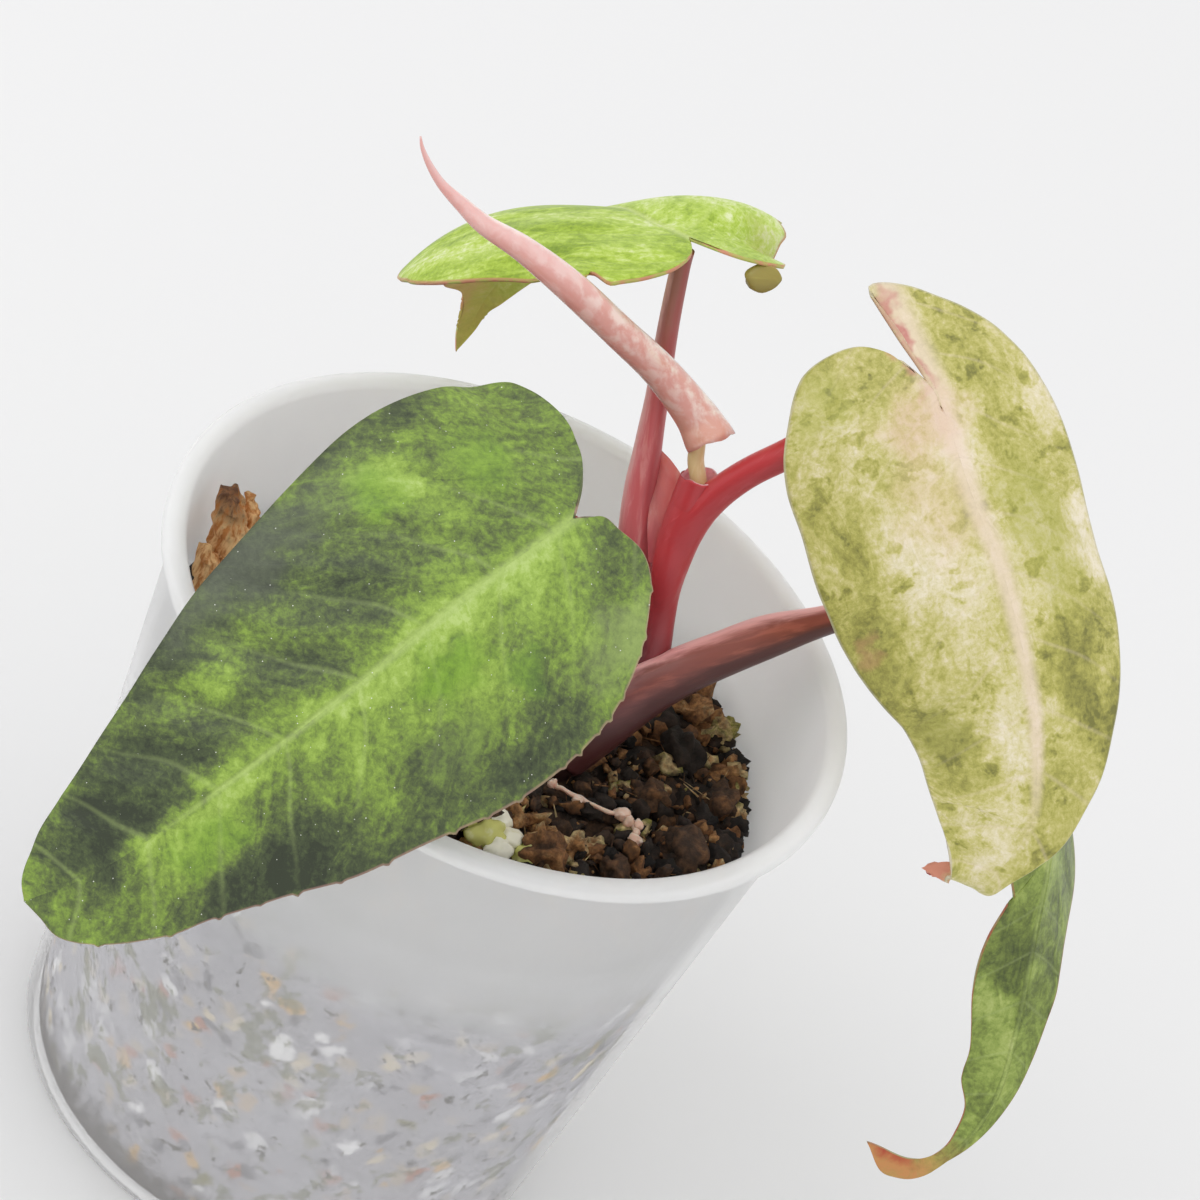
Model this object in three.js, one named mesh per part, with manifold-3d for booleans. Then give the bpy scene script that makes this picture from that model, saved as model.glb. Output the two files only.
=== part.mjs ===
// A young variegated philodendron hybrid in a frosted nursery pot.
// Lengths are in millimetres. +Z is up, the pot's base lies on z = 0 and its axis is the Z axis.
import * as THREE from "three";
import { mergeVertices } from "three/addons/utils/BufferGeometryUtils.js";
import Module from "manifold-3d";

const wasm = await Module();
wasm.setup();

// Driving dimensions
const POT_HEIGHT = 90;
const RIM_RADIUS = 47.5;
const BASE_RADIUS = 36;
const POT_SIDES = 48;
const DRAIN_HOLES = 8;
const DRAIN_RADIUS = 3;
const DRAIN_CIRCLE = 26;
// The plant and its mix are measured from this height above the pot's base.
const PLANT_LEVEL = 6;
const MIX_LEVEL = 64.5;
const GAP = 0.3;
const BLADE_THICKNESS = 0.7;
const BLADE_ROWS = 30;
const BLADE_COLUMNS = 5;
const ROW_SWEEP = 1.7;
const ROW_EASE = 0.25;
const TUBE_SIDES = 12;
const TUBE_STEPS = 16;
const MERGE = 1e-4;
const SMALL_EDGE = 0.01;

// Small helpers
const vec = (p) => new THREE.Vector3(p[0], p[1], p[2]);

function curveThrough(points) {
  return new THREE.CatmullRomCurve3(points.map(vec), false, "catmullrom", 0.5);
}

// A repeatable stream of numbers between 0 and 1.
function seeded(seed) {
  let state = seed;
  return () => {
    state = (state * 1664525 + 1013904223) % 4294967296;
    return state / 4294967296;
  };
}

// Geometry to solid: equal corners are merged and faces without area are dropped.
function solidFrom(geometry) {
  const bare = new THREE.BufferGeometry();
  const loose = geometry.index ? geometry.toNonIndexed() : geometry;
  bare.setAttribute("position", loose.getAttribute("position"));
  const merged = mergeVertices(bare, MERGE);
  const index = merged.index.array;
  const kept = [];
  for (let i = 0; i < index.length; i += 3) {
    const [a, b, c] = [index[i], index[i + 1], index[i + 2]];
    if (a !== b && b !== c && c !== a) kept.push(a, b, c);
  }
  const mesh = new wasm.Mesh({
    numProp: 3,
    vertProperties: new Float32Array(merged.attributes.position.array),
    triVerts: new Uint32Array(kept),
  });
  return new wasm.Manifold(mesh);
}

function geometryFrom(solid) {
  const mesh = solid.getMesh();
  const geometry = new THREE.BufferGeometry();
  const corners = new THREE.BufferAttribute(Float32Array.from(mesh.vertProperties), 3);
  geometry.setAttribute("position", corners);
  geometry.setIndex(new THREE.BufferAttribute(Uint32Array.from(mesh.triVerts), 1));
  geometry.computeVertexNormals();
  return geometry;
}

function fuse(solids) {
  return solids.reduce((sum, next) => sum.add(next));
}

// The largest body of a solid, without loose scraps, and without edges too short to build.
function mainBody(solid) {
  const bodies = solid.simplify(SMALL_EDGE).decompose();
  return bodies.reduce((best, next) => (next.volume() > best.volume() ? next : best));
}

function without(solid, cutters) {
  return mainBody(cutters.reduce((rest, cutter) => rest.subtract(cutter), solid));
}

// Stalks: a closed round bar that follows a curve
// A route lists points as x, y, z, radius. grow adds to every radius, and reach to the closed end.
function bar(route, grow = 0, reach = 0, sides = TUBE_SIDES, steps = TUBE_STEPS) {
  const path = curveThrough(route);
  const radii = curveThrough(route.map((p) => [p[3], 0, 0]));
  const geometry = new THREE.CylinderGeometry(1, 1, 1, sides, steps);
  const corners = geometry.getAttribute("position");
  const start = path.getPoint(0);
  const end = path.getPoint(1);
  const aim = end.clone().sub(start).normalize();
  const reference = Math.abs(aim.x) < 0.8 ? new THREE.Vector3(1, 0, 0) : new THREE.Vector3(0, 1, 0);
  for (let i = 0; i < corners.count; i++) {
    const share = corners.getY(i) + 0.5;
    const t = path.getUtoTmapping(share);
    const along = path.getTangent(t);
    const side = reference.clone().addScaledVector(along, -reference.dot(along)).normalize();
    const other = side.clone().cross(along);
    const radius = radii.getPoint(t).x + grow;
    const point = path.getPoint(t);
    if (share < 0.001) point.addScaledVector(along, -reach);
    if (share > 0.999) point.addScaledVector(along, reach);
    point.addScaledVector(side, corners.getX(i) * radius);
    point.addScaledVector(other, corners.getZ(i) * radius);
    corners.setXYZ(i, point.x, point.y, point.z);
  }
  return solidFrom(geometry);
}

// Lumps: a ball with flats, squashed and turned by the seeded stream
function lump(centre, size, random, detail = 0) {
  const geometry = new THREE.IcosahedronGeometry(1, detail);
  const stretch = [0.75 + 0.5 * random(), 0.75 + 0.5 * random(), 0.6 + 0.4 * random()];
  geometry.scale(size * stretch[0], size * stretch[1], size * stretch[2]);
  geometry.rotateX(random() * Math.PI);
  geometry.rotateZ(random() * Math.PI);
  geometry.translate(centre[0], centre[1], centre[2]);
  return solidFrom(geometry);
}

// Length along a curve at a share of its control points
function lengthAt(curve, t) {
  const lengths = curve.getLengths(200);
  const place = t * 200;
  const low = Math.min(Math.floor(place), 199);
  return THREE.MathUtils.lerp(lengths[low], lengths[low + 1], place - low);
}

// Rows lie closer together towards the tip, and each marked corner of the left margin has its own.
function rowPlaces(marks) {
  const places = [];
  for (let i = 0; i <= BLADE_ROWS; i++) {
    const share = i / BLADE_ROWS;
    const place = share + ROW_EASE * share * (1 - share);
    if (marks.every((mark) => Math.abs(mark - place) > 0.008)) places.push(place);
  }
  return [...places, ...marks].sort((a, b) => a - b);
}

// Blades
// Each station lists: a point of the midrib, the direction the upper face looks at there, then for
// the left and the right half its droop in degrees and its curl per millimetre. The second station
// is where the petiole meets the blade. Outlines list the margin of a half, from the sinus round
// the basal lobe to the tip, as distance from the midrib and distance along it. A wave lists the
// height, the number and the start of the ripples along a margin.
class Blade {
  constructor(form) {
    this.spine = curveThrough(form.stations.map((s) => s.slice(0, 3)));
    this.facing = curveThrough(form.stations.map((s) => s.slice(3, 6)));
    this.bends = {
      left: curveThrough(form.stations.map((s) => [s[6], s[7], 0])),
      right: curveThrough(form.stations.map((s) => [s[8], s[9], 0])),
    };
    this.total = this.spine.getLength();
    this.collar = lengthAt(this.spine, 1 / (form.stations.length - 1));
    this.length = this.total - this.collar;
    const tip = [0, this.length, 0];
    this.outlines = {
      left: curveThrough([[0, 0, 0], ...form.left.map((p) => [p[0], p[1], 0]), tip]),
      right: curveThrough([[0, 0, 0], ...form.right.map((p) => [p[0], p[1], 0]), tip]),
    };
    this.wave = form.wave;
    const margin = this.outlines.left;
    const marks = (form.marks ?? []).map((k) => lengthAt(margin, k / (form.left.length + 1)));
    this.rows = rowPlaces(marks.map((length) => length / margin.getLength()));
  }

  // The point of a half at a distance out from the midrib and a distance along it.
  at(half, out, along) {
    const full = along + this.collar;
    const held = THREE.MathUtils.clamp(full, 0, this.total);
    const t = this.spine.getUtoTmapping(held / this.total);
    const ahead = this.spine.getTangent(t);
    const point = this.spine.getPoint(t).addScaledVector(ahead, full - held);
    const up = this.facing.getPoint(t);
    up.addScaledVector(ahead, -up.dot(ahead)).normalize();
    const aside = ahead.clone().cross(up);
    const bend = this.bends[half].getPoint(t);
    const start = THREE.MathUtils.degToRad(bend.x);
    const curl = Math.max(bend.y, 1e-4);
    const level = (Math.sin(start + curl * out) - Math.sin(start)) / curl;
    const drop = (Math.cos(start + curl * out) - Math.cos(start)) / curl;
    point.addScaledVector(aside, half === "right" ? level : -level);
    return point.addScaledVector(up, drop);
  }

  // A row v runs from the midrib (u = 0) out and forward to the margin (u = 1).
  surface(half, u, v) {
    const margin = this.outlines[half].getPointAt(v);
    const root = this.length * Math.pow(v, ROW_SWEEP);
    const along = root + (margin.y - root) * u;
    const point = this.at(half, margin.x * u, along);
    const [height, count, shift] = this.wave[half];
    const ripple = height * Math.pow(u, 3) * Math.sin(Math.PI * v) ** 0.5;
    point.z += ripple * Math.sin(count * 2 * Math.PI * v + shift);
    return point;
  }

  // The closed blade: both faces share one triangulation, and the margin joins them.
  solid(grow = 0) {
    const points = [];
    const faces = [];
    const rows = this.rows.length - 1;
    const columns = BLADE_COLUMNS;
    const number = new Map();
    const corner = (half, i, j) => {
      const end = i === 0 || i === rows;
      const name = end ? "end " + i : j === 0 ? "rib " + i : half + i + "," + j;
      if (!number.has(name)) {
        number.set(name, points.length);
        points.push(this.surface(half, end ? 0 : j / columns, this.rows[i]));
      }
      return number.get(name);
    };
    for (const half of ["left", "right"]) {
      for (let i = 0; i < rows; i++) {
        for (let j = 0; j < columns; j++) {
          const a = corner(half, i, j);
          const b = corner(half, i, j + 1);
          const c = corner(half, i + 1, j + 1);
          const d = corner(half, i + 1, j);
          const pair = (i + j) % 2 ? [[a, b, c], [a, c, d]] : [[a, b, d], [b, c, d]];
          for (const face of pair) {
            if (new Set(face).size < 3) continue;
            faces.push(half === "right" ? face : [face[0], face[2], face[1]]);
          }
        }
      }
    }
    const normals = points.map(() => new THREE.Vector3());
    for (const [a, b, c] of faces) {
      const one = points[b].clone().sub(points[a]);
      const two = points[c].clone().sub(points[a]);
      const normal = one.cross(two);
      for (const k of [a, b, c]) normals[k].add(normal);
    }
    const half = BLADE_THICKNESS / 2 + grow;
    const count = points.length;
    const corners = [];
    for (const sign of [1, -1]) {
      points.forEach((point, k) => {
        const moved = point.clone().addScaledVector(normals[k].clone().normalize(), sign * half);
        corners.push(moved.x, moved.y, moved.z);
      });
    }
    const seen = new Set(faces.flatMap(([a, b, c]) => [`${a}>${b}`, `${b}>${c}`, `${c}>${a}`]));
    const all = [];
    for (const [a, b, c] of faces) {
      all.push(a, b, c, count + a, count + c, count + b);
      for (const [from, to] of [[a, b], [b, c], [c, a]]) {
        if (seen.has(`${to}>${from}`)) continue;
        all.push(to, from, count + from, to, count + from, count + to);
      }
    }
    const geometry = new THREE.BufferGeometry();
    geometry.setAttribute("position", new THREE.Float32BufferAttribute(corners, 3));
    geometry.setIndex(all);
    return solidFrom(geometry);
  }
}

// Leaf 1: the large dark green leaf at the front
const blade1 = new Blade({
  stations: [
    [4, -16, 123, -0.05, -0.55, 0.83, 2, 0.01, 4, 0.01],
    [1, -24, 119.5, -0.05, -0.62, 0.78, 0, 0.012, 2, 0.012],
    [-6, -37.5, 111, -0.05, -0.72, 0.69, -2, 0.016, 0, 0.016],
    [-13.5, -50, 97.5, 0, -0.8, 0.6, -2, 0.018, 2, 0.018],
    [-22, -60, 82, -0.02, -0.86, 0.5, -2, 0.02, 3, 0.02],
    [-28.5, -65, 70.5, -0.1, -0.9, 0.42, -2, 0.02, 3, 0.02],
    [-35, -67, 62, -0.2, -0.92, 0.33, -2, 0.02, 3, 0.02],
  ],
  left: [
    [2, -3], [4.5, -3.5], [8, -4], [11, -3], [13.5, -1], [17.5, 3], [20.5, 7.5], [22.5, 13],
    [23.5, 21], [22.5, 30], [19.5, 42], [17.5, 49.5], [14.5, 57.5], [12, 64], [11, 69],
    [8.5, 75], [5.5, 80], [2.5, 81.5],
  ],
  right: [
    [4, -6], [7.5, -8.5], [11.5, -10], [16.5, -10], [20.5, -8], [23.5, -1.5], [25.5, 6.5],
    [26, 14], [25, 22.5], [23.5, 32], [21.5, 42], [18.5, 50.5], [15.5, 58], [12.5, 66],
    [8.5, 76], [5, 80], [2.5, 82],
  ],
  wave: { left: [0.35, 6, 0.5], right: [0.4, 3, 1] },
});

// Leaf 2: the cream and yellow-green leaf on the right, with its tip turned under
const blade2 = new Blade({
  stations: [
    [26.5, 27, 134, -0.2, -0.65, 0.75, 6, 0.03, 3, 0.01],
    [33.5, 20.5, 132, -0.1, -0.7, 0.7, 6, 0.034, 3, 0.012],
    [43.5, 12.5, 126, 0, -0.8, 0.6, 6, 0.04, 2, 0.014],
    [51, 8, 121.5, 0, -0.8, 0.6, 6, 0.044, 2, 0.016],
    [58, 3.5, 115.5, 0, -0.82, 0.58, 6, 0.046, 3, 0.018],
    [64, 0, 109, 0.05, -0.86, 0.5, 6, 0.044, 3, 0.02],
    [69.5, -4.5, 100, 0.08, -0.93, 0.36, 6, 0.04, 2, 0.014],
    [70, -6.5, 94.5, 0.08, -0.97, 0.25, 6, 0.03, 2, 0.01],
    [69, -7.5, 89.5, 0.05, -1, 0.1, 4, 0.02, 2, 0.005],
    [67.5, -7, 86.5, -0.1, -0.5, -0.85, 2, 0.01, 0, 0.005],
    [65, -4.5, 85, -0.25, 0.62, -0.75, 2, 0.01, 0, 0.01],
    [61.5, -3.5, 82.5, -0.15, 0.75, -0.65, 2, 0.01, 0, 0.01],
  ],
  left: [
    [-0.5, -3.5], [-1, -9], [-2, -14.5], [-2.3, -17.2], [-0.3, -17.2], [3, -15.5], [5.5, -13.5],
    [8.5, -11], [11, -8], [12.5, -5], [14, -1], [15.5, 6.5], [15.5, 16], [14.5, 24], [15, 30],
    [14.5, 35], [13, 40], [10.5, 46], [8.5, 51.5], [6, 56], [4.2, 60.5], [2.4, 65], [2.2, 69],
    [1.4, 73], [1.2, 76],
  ],
  right: [
    [1.2, -2], [2, -4.5], [3.5, -8], [6.5, -10.5], [10.5, -11], [14.5, -10], [18, -7], [20.5, -2],
    [22, 5.5], [22, 12], [23, 18.5], [23, 26.5], [21.5, 32.5], [19, 38], [16, 46.5], [13.5, 53.5],
    [11.5, 62.5], [8.5, 66], [5, 69], [2.6, 71], [1.8, 73], [1.4, 76],
  ],
  wave: { left: [0.5, 3, 0], right: [0.4, 4, 2] },
  marks: [21, 22, 23, 24, 25],
});

// Leaf 3: the lime green leaf at the back, folded along its midrib, with its tip hanging
const blade3 = new Blade({
  stations: [
    [5.5, 21, 134.5, -0.3, 0.08, 0.95, 2, 0.014, 3, 0.043],
    [-3.5, 26, 131, -0.33, 0.13, 0.93, 2, 0.014, 3, 0.043],
    [-8, 30, 128, -0.37, 0.23, 0.9, -2, 0.033, -22, 0.043],
    [-13.3, 35.8, 123.9, -0.42, 0.36, 0.83, -3, 0.034, -21, 0.045],
    [-18.2, 44.2, 114.8, -0.48, 0.56, 0.67, -12, 0.041, -6, 0.03],
    [-22.2, 50.7, 103.2, -0.52, 0.78, 0.34, -4, 0.037, 2, 0.024],
    [-25, 52, 92, -0.5, 0.87, -0.04, 6, 0.03, 6, 0.02],
    [-25.5, 50.5, 81.5, -0.46, 0.88, -0.11, 8, 0.02, 8, 0.02],
  ],
  left: [
    [2, -2.5], [4.5, -4], [8, -4.5], [11.5, -3.5], [14.2, -2], [15.4, -1.2], [15.1, 1.2],
    [16.8, 1.3], [18.5, 3], [21, 8], [24.5, 14], [27.5, 21], [29, 28], [27.5, 34.5], [21.5, 40],
    [13.5, 44.5], [8.5, 49], [5.5, 54], [3, 59.5],
  ],
  right: [
    [0.5, -3], [1, -6], [2.5, -8.5], [5, -10], [8, -10], [11, -8], [15, -4.5], [17.5, 0],
    [18.5, 5], [20, 11], [19, 18], [17.5, 25], [14, 31], [10, 37], [6.5, 43], [4, 50], [2, 57],
  ],
  wave: { left: [0.3, 4, 0], right: [0.5, 4, 1] },
  marks: [5, 6, 7, 8],
});

// Leaf 4: the narrow leaf that hangs at the lower right, twisted, with its tip curled up
const blade4 = new Blade({
  stations: [
    [59, 35, 102.5, 0.31, 0.34, 0.89, 10, 0.02, 16, 0.02],
    [64, 30.5, 100, 0.58, 0.26, 0.77, 10, 0.02, 16, 0.02],
    [69.5, 25.5, 93.5, 0.72, 0.1, 0.69, 10, 0.02, 16, 0.02],
    [74, 22, 85, 0.76, -0.08, 0.64, 10, 0.02, 16, 0.02],
    [78, 18, 76.5, 0.72, -0.23, 0.65, 8, 0.02, 16, 0.02],
    [81.5, 13.5, 67, 0.6, -0.39, 0.7, 8, 0.02, 16, 0.02],
    [85.5, 9, 56, 0.37, -0.61, 0.7, 10, 0.02, 20, 0.02],
    [87.5, 4, 47.5, 0.31, -0.73, 0.61, 10, 0.02, 20, 0.02],
    [86, -1, 41, 0.32, -0.85, 0.42, 6, 0.02, 6, 0.02],
    [81.5, -5.5, 38, 0.14, -0.92, 0.36, 4, 0.02, 4, 0.02],
    [74.5, -7.5, 40.5, -0.13, -0.89, 0.43, 4, 0.02, 4, 0.02],
  ],
  left: [
    [1.5, -3.5], [4, -6], [7.5, -6.5], [10.5, -4.5], [12, -0.5], [12.5, 6], [12.5, 14],
    [13.5, 22], [13.5, 29], [13, 34], [10, 39.5], [7.5, 46], [6.5, 49.5], [5, 53], [4, 57],
    [3, 61], [2, 65], [1.2, 70.5], [0.8, 74], [1.1, 77.5], [1.4, 80.5], [1.8, 83],
  ],
  right: [
    [1.5, -3.5], [4, -6], [7.5, -6.5], [10.5, -4.5], [12, -0.5], [12.5, 6], [12, 14], [11, 22],
    [5, 34], [5.5, 36], [7, 40.5], [7.5, 44.5], [7, 49.5], [5.5, 57], [5.5, 61.5], [5, 64],
    [3, 67], [2, 70.5], [1.4, 73], [1.3, 76], [1.6, 80], [0.9, 84],
  ],
  wave: { left: [0.3, 5, 0], right: [0.3, 5, 2] },
});

// Two small flat pieces lie across these directions: the wing and the rolled lobe.
const FLAT_ACROSS = [0.88, 0.28, 0.38];
const FLAT_UP = [-0.48, 0.52, 0.71];
function flatAxes() {
  const across = vec(FLAT_ACROSS).normalize();
  const facing = across.clone().cross(vec(FLAT_UP)).normalize();
  return [across, facing.clone().cross(across), facing];
}

// Stem and petioles, each as a route of x, y, z, radius
const STEM = [[11, 2, 57, 5], [12, 3, 64, 5], [13, 3.5, 68, 4.8], [15, 5, 74, 4.4], [16.4, 6, 79, 4],
  [17, 6.4, 81.5, 3.3]];
const PETIOLE_1 = [[14, 3, 70, 3], [13, -1, 77, 2.6], [11, -5, 88, 2.2], [8, -9.5, 99, 2],
  [5, -15, 108.5, 1.8], [2.8, -19.5, 114.5, 1.7], [1.3, -22.9, 117.5, 1.6]];
const PETIOLE_2 = [[18.6, 6.8, 80.5, 2.5], [17.9, 8.6, 84, 2.2], [16.6, 10.4, 87.6, 2],
  [15.3, 12, 91, 2.1], [14.4, 13.1, 94.7, 2.4], [14, 14.2, 98.6, 2.5], [14.5, 15, 102.7, 2.3],
  [15.8, 15.6, 106.7, 2.1], [17.8, 16.2, 110.8, 2], [20.7, 17, 115.2, 2], [24.8, 19.4, 121, 2],
  [29.1, 21.4, 126.3, 2], [32.6, 22.2, 129.7, 1.8]];
const PETIOLE_3 = [[18.4, 8, 78, 2.6], [15.6, 11.4, 83.5, 2.4], [12, 14.4, 88, 2.2],
  [8.8, 16.7, 92.6, 2], [6.4, 18.8, 97.7, 1.9], [4.9, 20.2, 102.3, 1.85], [3.6, 21.4, 106.2, 1.7],
  [2.3, 22.5, 110.3, 1.55], [-0.5, 24, 119, 1.4], [-2.6, 26, 126, 1.3], [-3.2, 26.4, 129.1, 1.2]];
const PETIOLE_4 = [[13.4, 1.8, 67, 4.2], [16.2, 4, 72.6, 4], [19.1, 7.4, 77.2, 3.6],
  [22.3, 10.4, 81.2, 3.3], [25.9, 13.9, 84.2, 3.1], [30.5, 17.9, 87.9, 2.9], [36.3, 22, 91.8, 2],
  [43.5, 26.9, 96.7, 1.9], [51.1, 30.6, 99.6, 1.8], [57, 31.6, 99.4, 1.8], [62.2, 30.2, 97.9, 1.7]];
const STALK = [[14.4, 15.2, 101.5, 1.1], [13.6, 15.6, 103.6, 1.1], [12.2, 16.2, 105.8, 1.1],
  [10.8, 16.7, 107.8, 1.1], [9.9, 17.2, 110.1, 1.05], [8.8, 17.8, 112, 1], [6.8, 18.1, 113.5, 0.9]];
const CUP = [[14.6, 12.6, 93, 2.2], [13.5, 13.9, 97.5, 2.5], [12.9, 15.2, 101.7, 2.6],
  [12.3, 16.2, 105.4, 2.35]];
const HOOD = [[10.9, 17.6, 111.2, 3.3], [7.6, 18, 113.3, 2.75], [1.4, 16.2, 117.6, 2.35],
  [-5.3, 12.3, 122.4, 2.2], [-13.5, 8.8, 127.3, 2.1], [-21.5, 7.4, 130.1, 1.75],
  [-27.7, 7.5, 131.4, 1.4], [-32.8, 7.3, 133.6, 0.9], [-36.4, 7.1, 135.6, 0.5],
  [-38.5, 7.3, 137.2, 0.15]];
const HOOD_HOLLOW = [[12.6, 17.4, 110.2, 3.1], [10.9, 17.6, 111.2, 2.8], [7.6, 18, 113.3, 2.2],
  [1.4, 16.2, 117.6, 1.6], [-1, 15, 119, 0.8]];
// The wing is the thin free edge of the third petiole's sheath: a flat outline across and up.
const WING = [[-1.3, -2.6], [-0.7, 2.6], [-0.3, 6.5], [0.5, 6.1], [1.7, 4.8], [3, 2.7], [1.8, 0.6],
  [0.5, -1.3], [-0.7, -3.3]];
const WING_PLACE = [9.2, 18.4, 98.4];
const WING_THICKNESS = 0.8;
// The edge of leaf 3's right lobe is rolled under into a small rounded flap.
const ROLL_PLACE = [7.2, 24.8, 131.9];
const ROLL_SIZE = [2.4, 1.95, 0.9];
const ROOT = [[15, -3.9, 65.4, 0.9], [18.2, -4.8, 66.4, 0.9], [22, -5, 66.6, 0.8],
  [24.6, -3.9, 66.8, 1], [26, -4.4, 66.6, 0.8], [27.4, -6, 66.2, 1]];

const stem = bar(STEM);
const stemRoom = bar(STEM, GAP, GAP);
const bladeSolids = [blade1, blade2, blade3, blade4].map((blade) => blade.solid());
const roll = new THREE.SphereGeometry(1, 14, 8);
roll.scale(...ROLL_SIZE);
const rollFrame = new THREE.Matrix4().makeBasis(...flatAxes());
roll.applyMatrix4(rollFrame.setPosition(vec(ROLL_PLACE)));
bladeSolids[2] = bladeSolids[2].add(solidFrom(roll));
const bladeRooms = [blade1, blade2, blade3, blade4].map((blade) => blade.solid(GAP));

const stalk = bar(STALK);
const stalkRoom = bar(STALK, GAP, GAP);
const petiole2 = without(fuse([bar(PETIOLE_2), bar(CUP)]), [stemRoom, stalkRoom, bladeRooms[1]]);
const petiole2Room = fuse([bar(PETIOLE_2, GAP, GAP), bar(CUP, GAP, GAP)]);
const petiole4 = without(bar(PETIOLE_4), [stemRoom, petiole2Room, bladeRooms[3]]);
const petiole4Room = bar(PETIOLE_4, GAP, GAP);
const wingShape = new THREE.Shape(WING.map((p) => new THREE.Vector2(p[0], p[1])));
const wing = new THREE.ExtrudeGeometry(wingShape, { depth: WING_THICKNESS, bevelEnabled: false });
const wingFrame = new THREE.Matrix4().makeBasis(...flatAxes());
wing.applyMatrix4(wingFrame.setPosition(vec(WING_PLACE)));
const petiole3 = without(fuse([bar(PETIOLE_3), solidFrom(wing)]), [stemRoom, petiole2Room,
  petiole4Room, bladeRooms[2]]);
const petiole3Room = bar(PETIOLE_3, GAP, GAP);
const petiole1 = without(bar(PETIOLE_1), [stemRoom, petiole2Room, petiole4Room, petiole3Room,
  bladeRooms[0]]);
const hood = without(bar(HOOD, 0, 0, 14, 24), [bar(HOOD_HOLLOW), stalkRoom]);

// Things that lie on the mix: husk, pebbles and a root
const HUSK_BARS = [
  [[-33.5, 1.5, 61, 3.4], [-37, 1.5, 70, 3.2], [-41, 1.2, 79, 1]],
  [[-33, 5, 61, 3], [-36, 6, 68, 2.6], [-38.5, 8, 75, 0.8]],
  [[-34, -2, 61, 3], [-37.5, -2.5, 67, 2.4], [-40, -3, 72.5, 0.7]],
  [[-35, 3.5, 66, 2.2], [-39, 4, 73, 1.6], [-40.5, 4.6, 78, 0.5]],
];
const husk = mainBody(fuse(HUSK_BARS.map((route) => bar(route, 0, 0, 6, 5))));
const huskRoom = fuse(HUSK_BARS.map((route) => bar(route, GAP, GAP, 6, 5)));

const PEBBLES = [[10, -19, 65.6, 2.8], [13.2, -17.4, 65.4, 2.4], [7.2, -17.8, 65.6, 2.5],
  [10.4, -16, 66.2, 2.1], [15.8, -18.8, 65, 2.2], [12.4, -20.8, 65.2, 2.3], [5, -19.8, 65.2, 2.2]];
const pebbleRandom = seeded(5);
const pebbles = mainBody(fuse(PEBBLES.map((p) => lump(p, p[3] * 1.15, pebbleRandom, 1))));
const roomRandom = seeded(5);
const pebblesRoom = fuse(PEBBLES.map((p) => lump(p, (p[3] + GAP) * 1.2, roomRandom, 1)));
const root = without(bar(ROOT, 0, 0, 8, 20), [stemRoom, pebblesRoom]);
const rootRoom = bar(ROOT, GAP, GAP, 8, 20);

// The growing mix: a plug that fills the pot, with a rough top and seeded chunks
const INNER_BASE = BASE_RADIUS + 0.7;
const INNER_TOP = RIM_RADIUS - 3.1;
const INNER_SLOPE = (INNER_TOP - INNER_BASE) / (POT_HEIGHT - 3);
const innerRadius = (z) => INNER_BASE + INNER_SLOPE * (z + PLANT_LEVEL - 2);
const mixHeight = (x, y) =>
  MIX_LEVEL +
  0.9 * Math.sin(0.33 * x + 1.3) * Math.cos(0.29 * y) +
  0.6 * Math.sin(0.61 * x - 0.53 * y) +
  0.02 * (x + y);
const MIX_FLOOR = 1.6 - PLANT_LEVEL;
const MIX_SIDES = 40;
const WALL_CLEARANCE = 0.6;
const SHOULDER = 62;
const mixProfile = [new THREE.Vector2(0, MIX_FLOOR), new THREE.Vector2(INNER_BASE - 1, MIX_FLOOR)];
for (const z of [0, 24, 45, SHOULDER]) {
  mixProfile.push(new THREE.Vector2(innerRadius(z) - WALL_CLEARANCE, z));
}
for (const radius of [37, 31, 25, 19, 13, 7, 0]) {
  mixProfile.push(new THREE.Vector2(radius, MIX_LEVEL));
}
const plug = new THREE.LatheGeometry(mixProfile, MIX_SIDES);
plug.rotateX(Math.PI / 2);
const plugCorners = plug.getAttribute("position");
for (let i = 0; i < plugCorners.count; i++) {
  const [x, y, z] = [plugCorners.getX(i), plugCorners.getY(i), plugCorners.getZ(i)];
  if (z > SHOULDER - 1) {
    plugCorners.setZ(i, z > SHOULDER + 1 ? mixHeight(x, y) : mixHeight(x, y) - 1.2);
  }
}
const CHUNKS = 46;
const CHUNK_REACH = 39;
const GOLDEN_TURN = Math.PI * (3 - Math.sqrt(5));
const mixRandom = seeded(21);
const chunks = [];
for (let i = 0; i < CHUNKS; i++) {
  const turn = i * GOLDEN_TURN;
  const reach = CHUNK_REACH * Math.sqrt((i + 0.5) / CHUNKS);
  const size = 1.6 + 2.2 * mixRandom();
  const away = Math.min(reach, innerRadius(MIX_LEVEL) - 1 - 1.3 * size);
  const [x, y] = [away * Math.cos(turn), away * Math.sin(turn)];
  chunks.push(lump([x, y, mixHeight(x, y) + 0.25 * size], size, mixRandom));
}
const mix = without(fuse([solidFrom(plug), ...chunks]), [stemRoom, huskRoom, pebblesRoom, rootRoom,
  petiole4Room, bar(PETIOLE_1, GAP, GAP)]);

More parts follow.
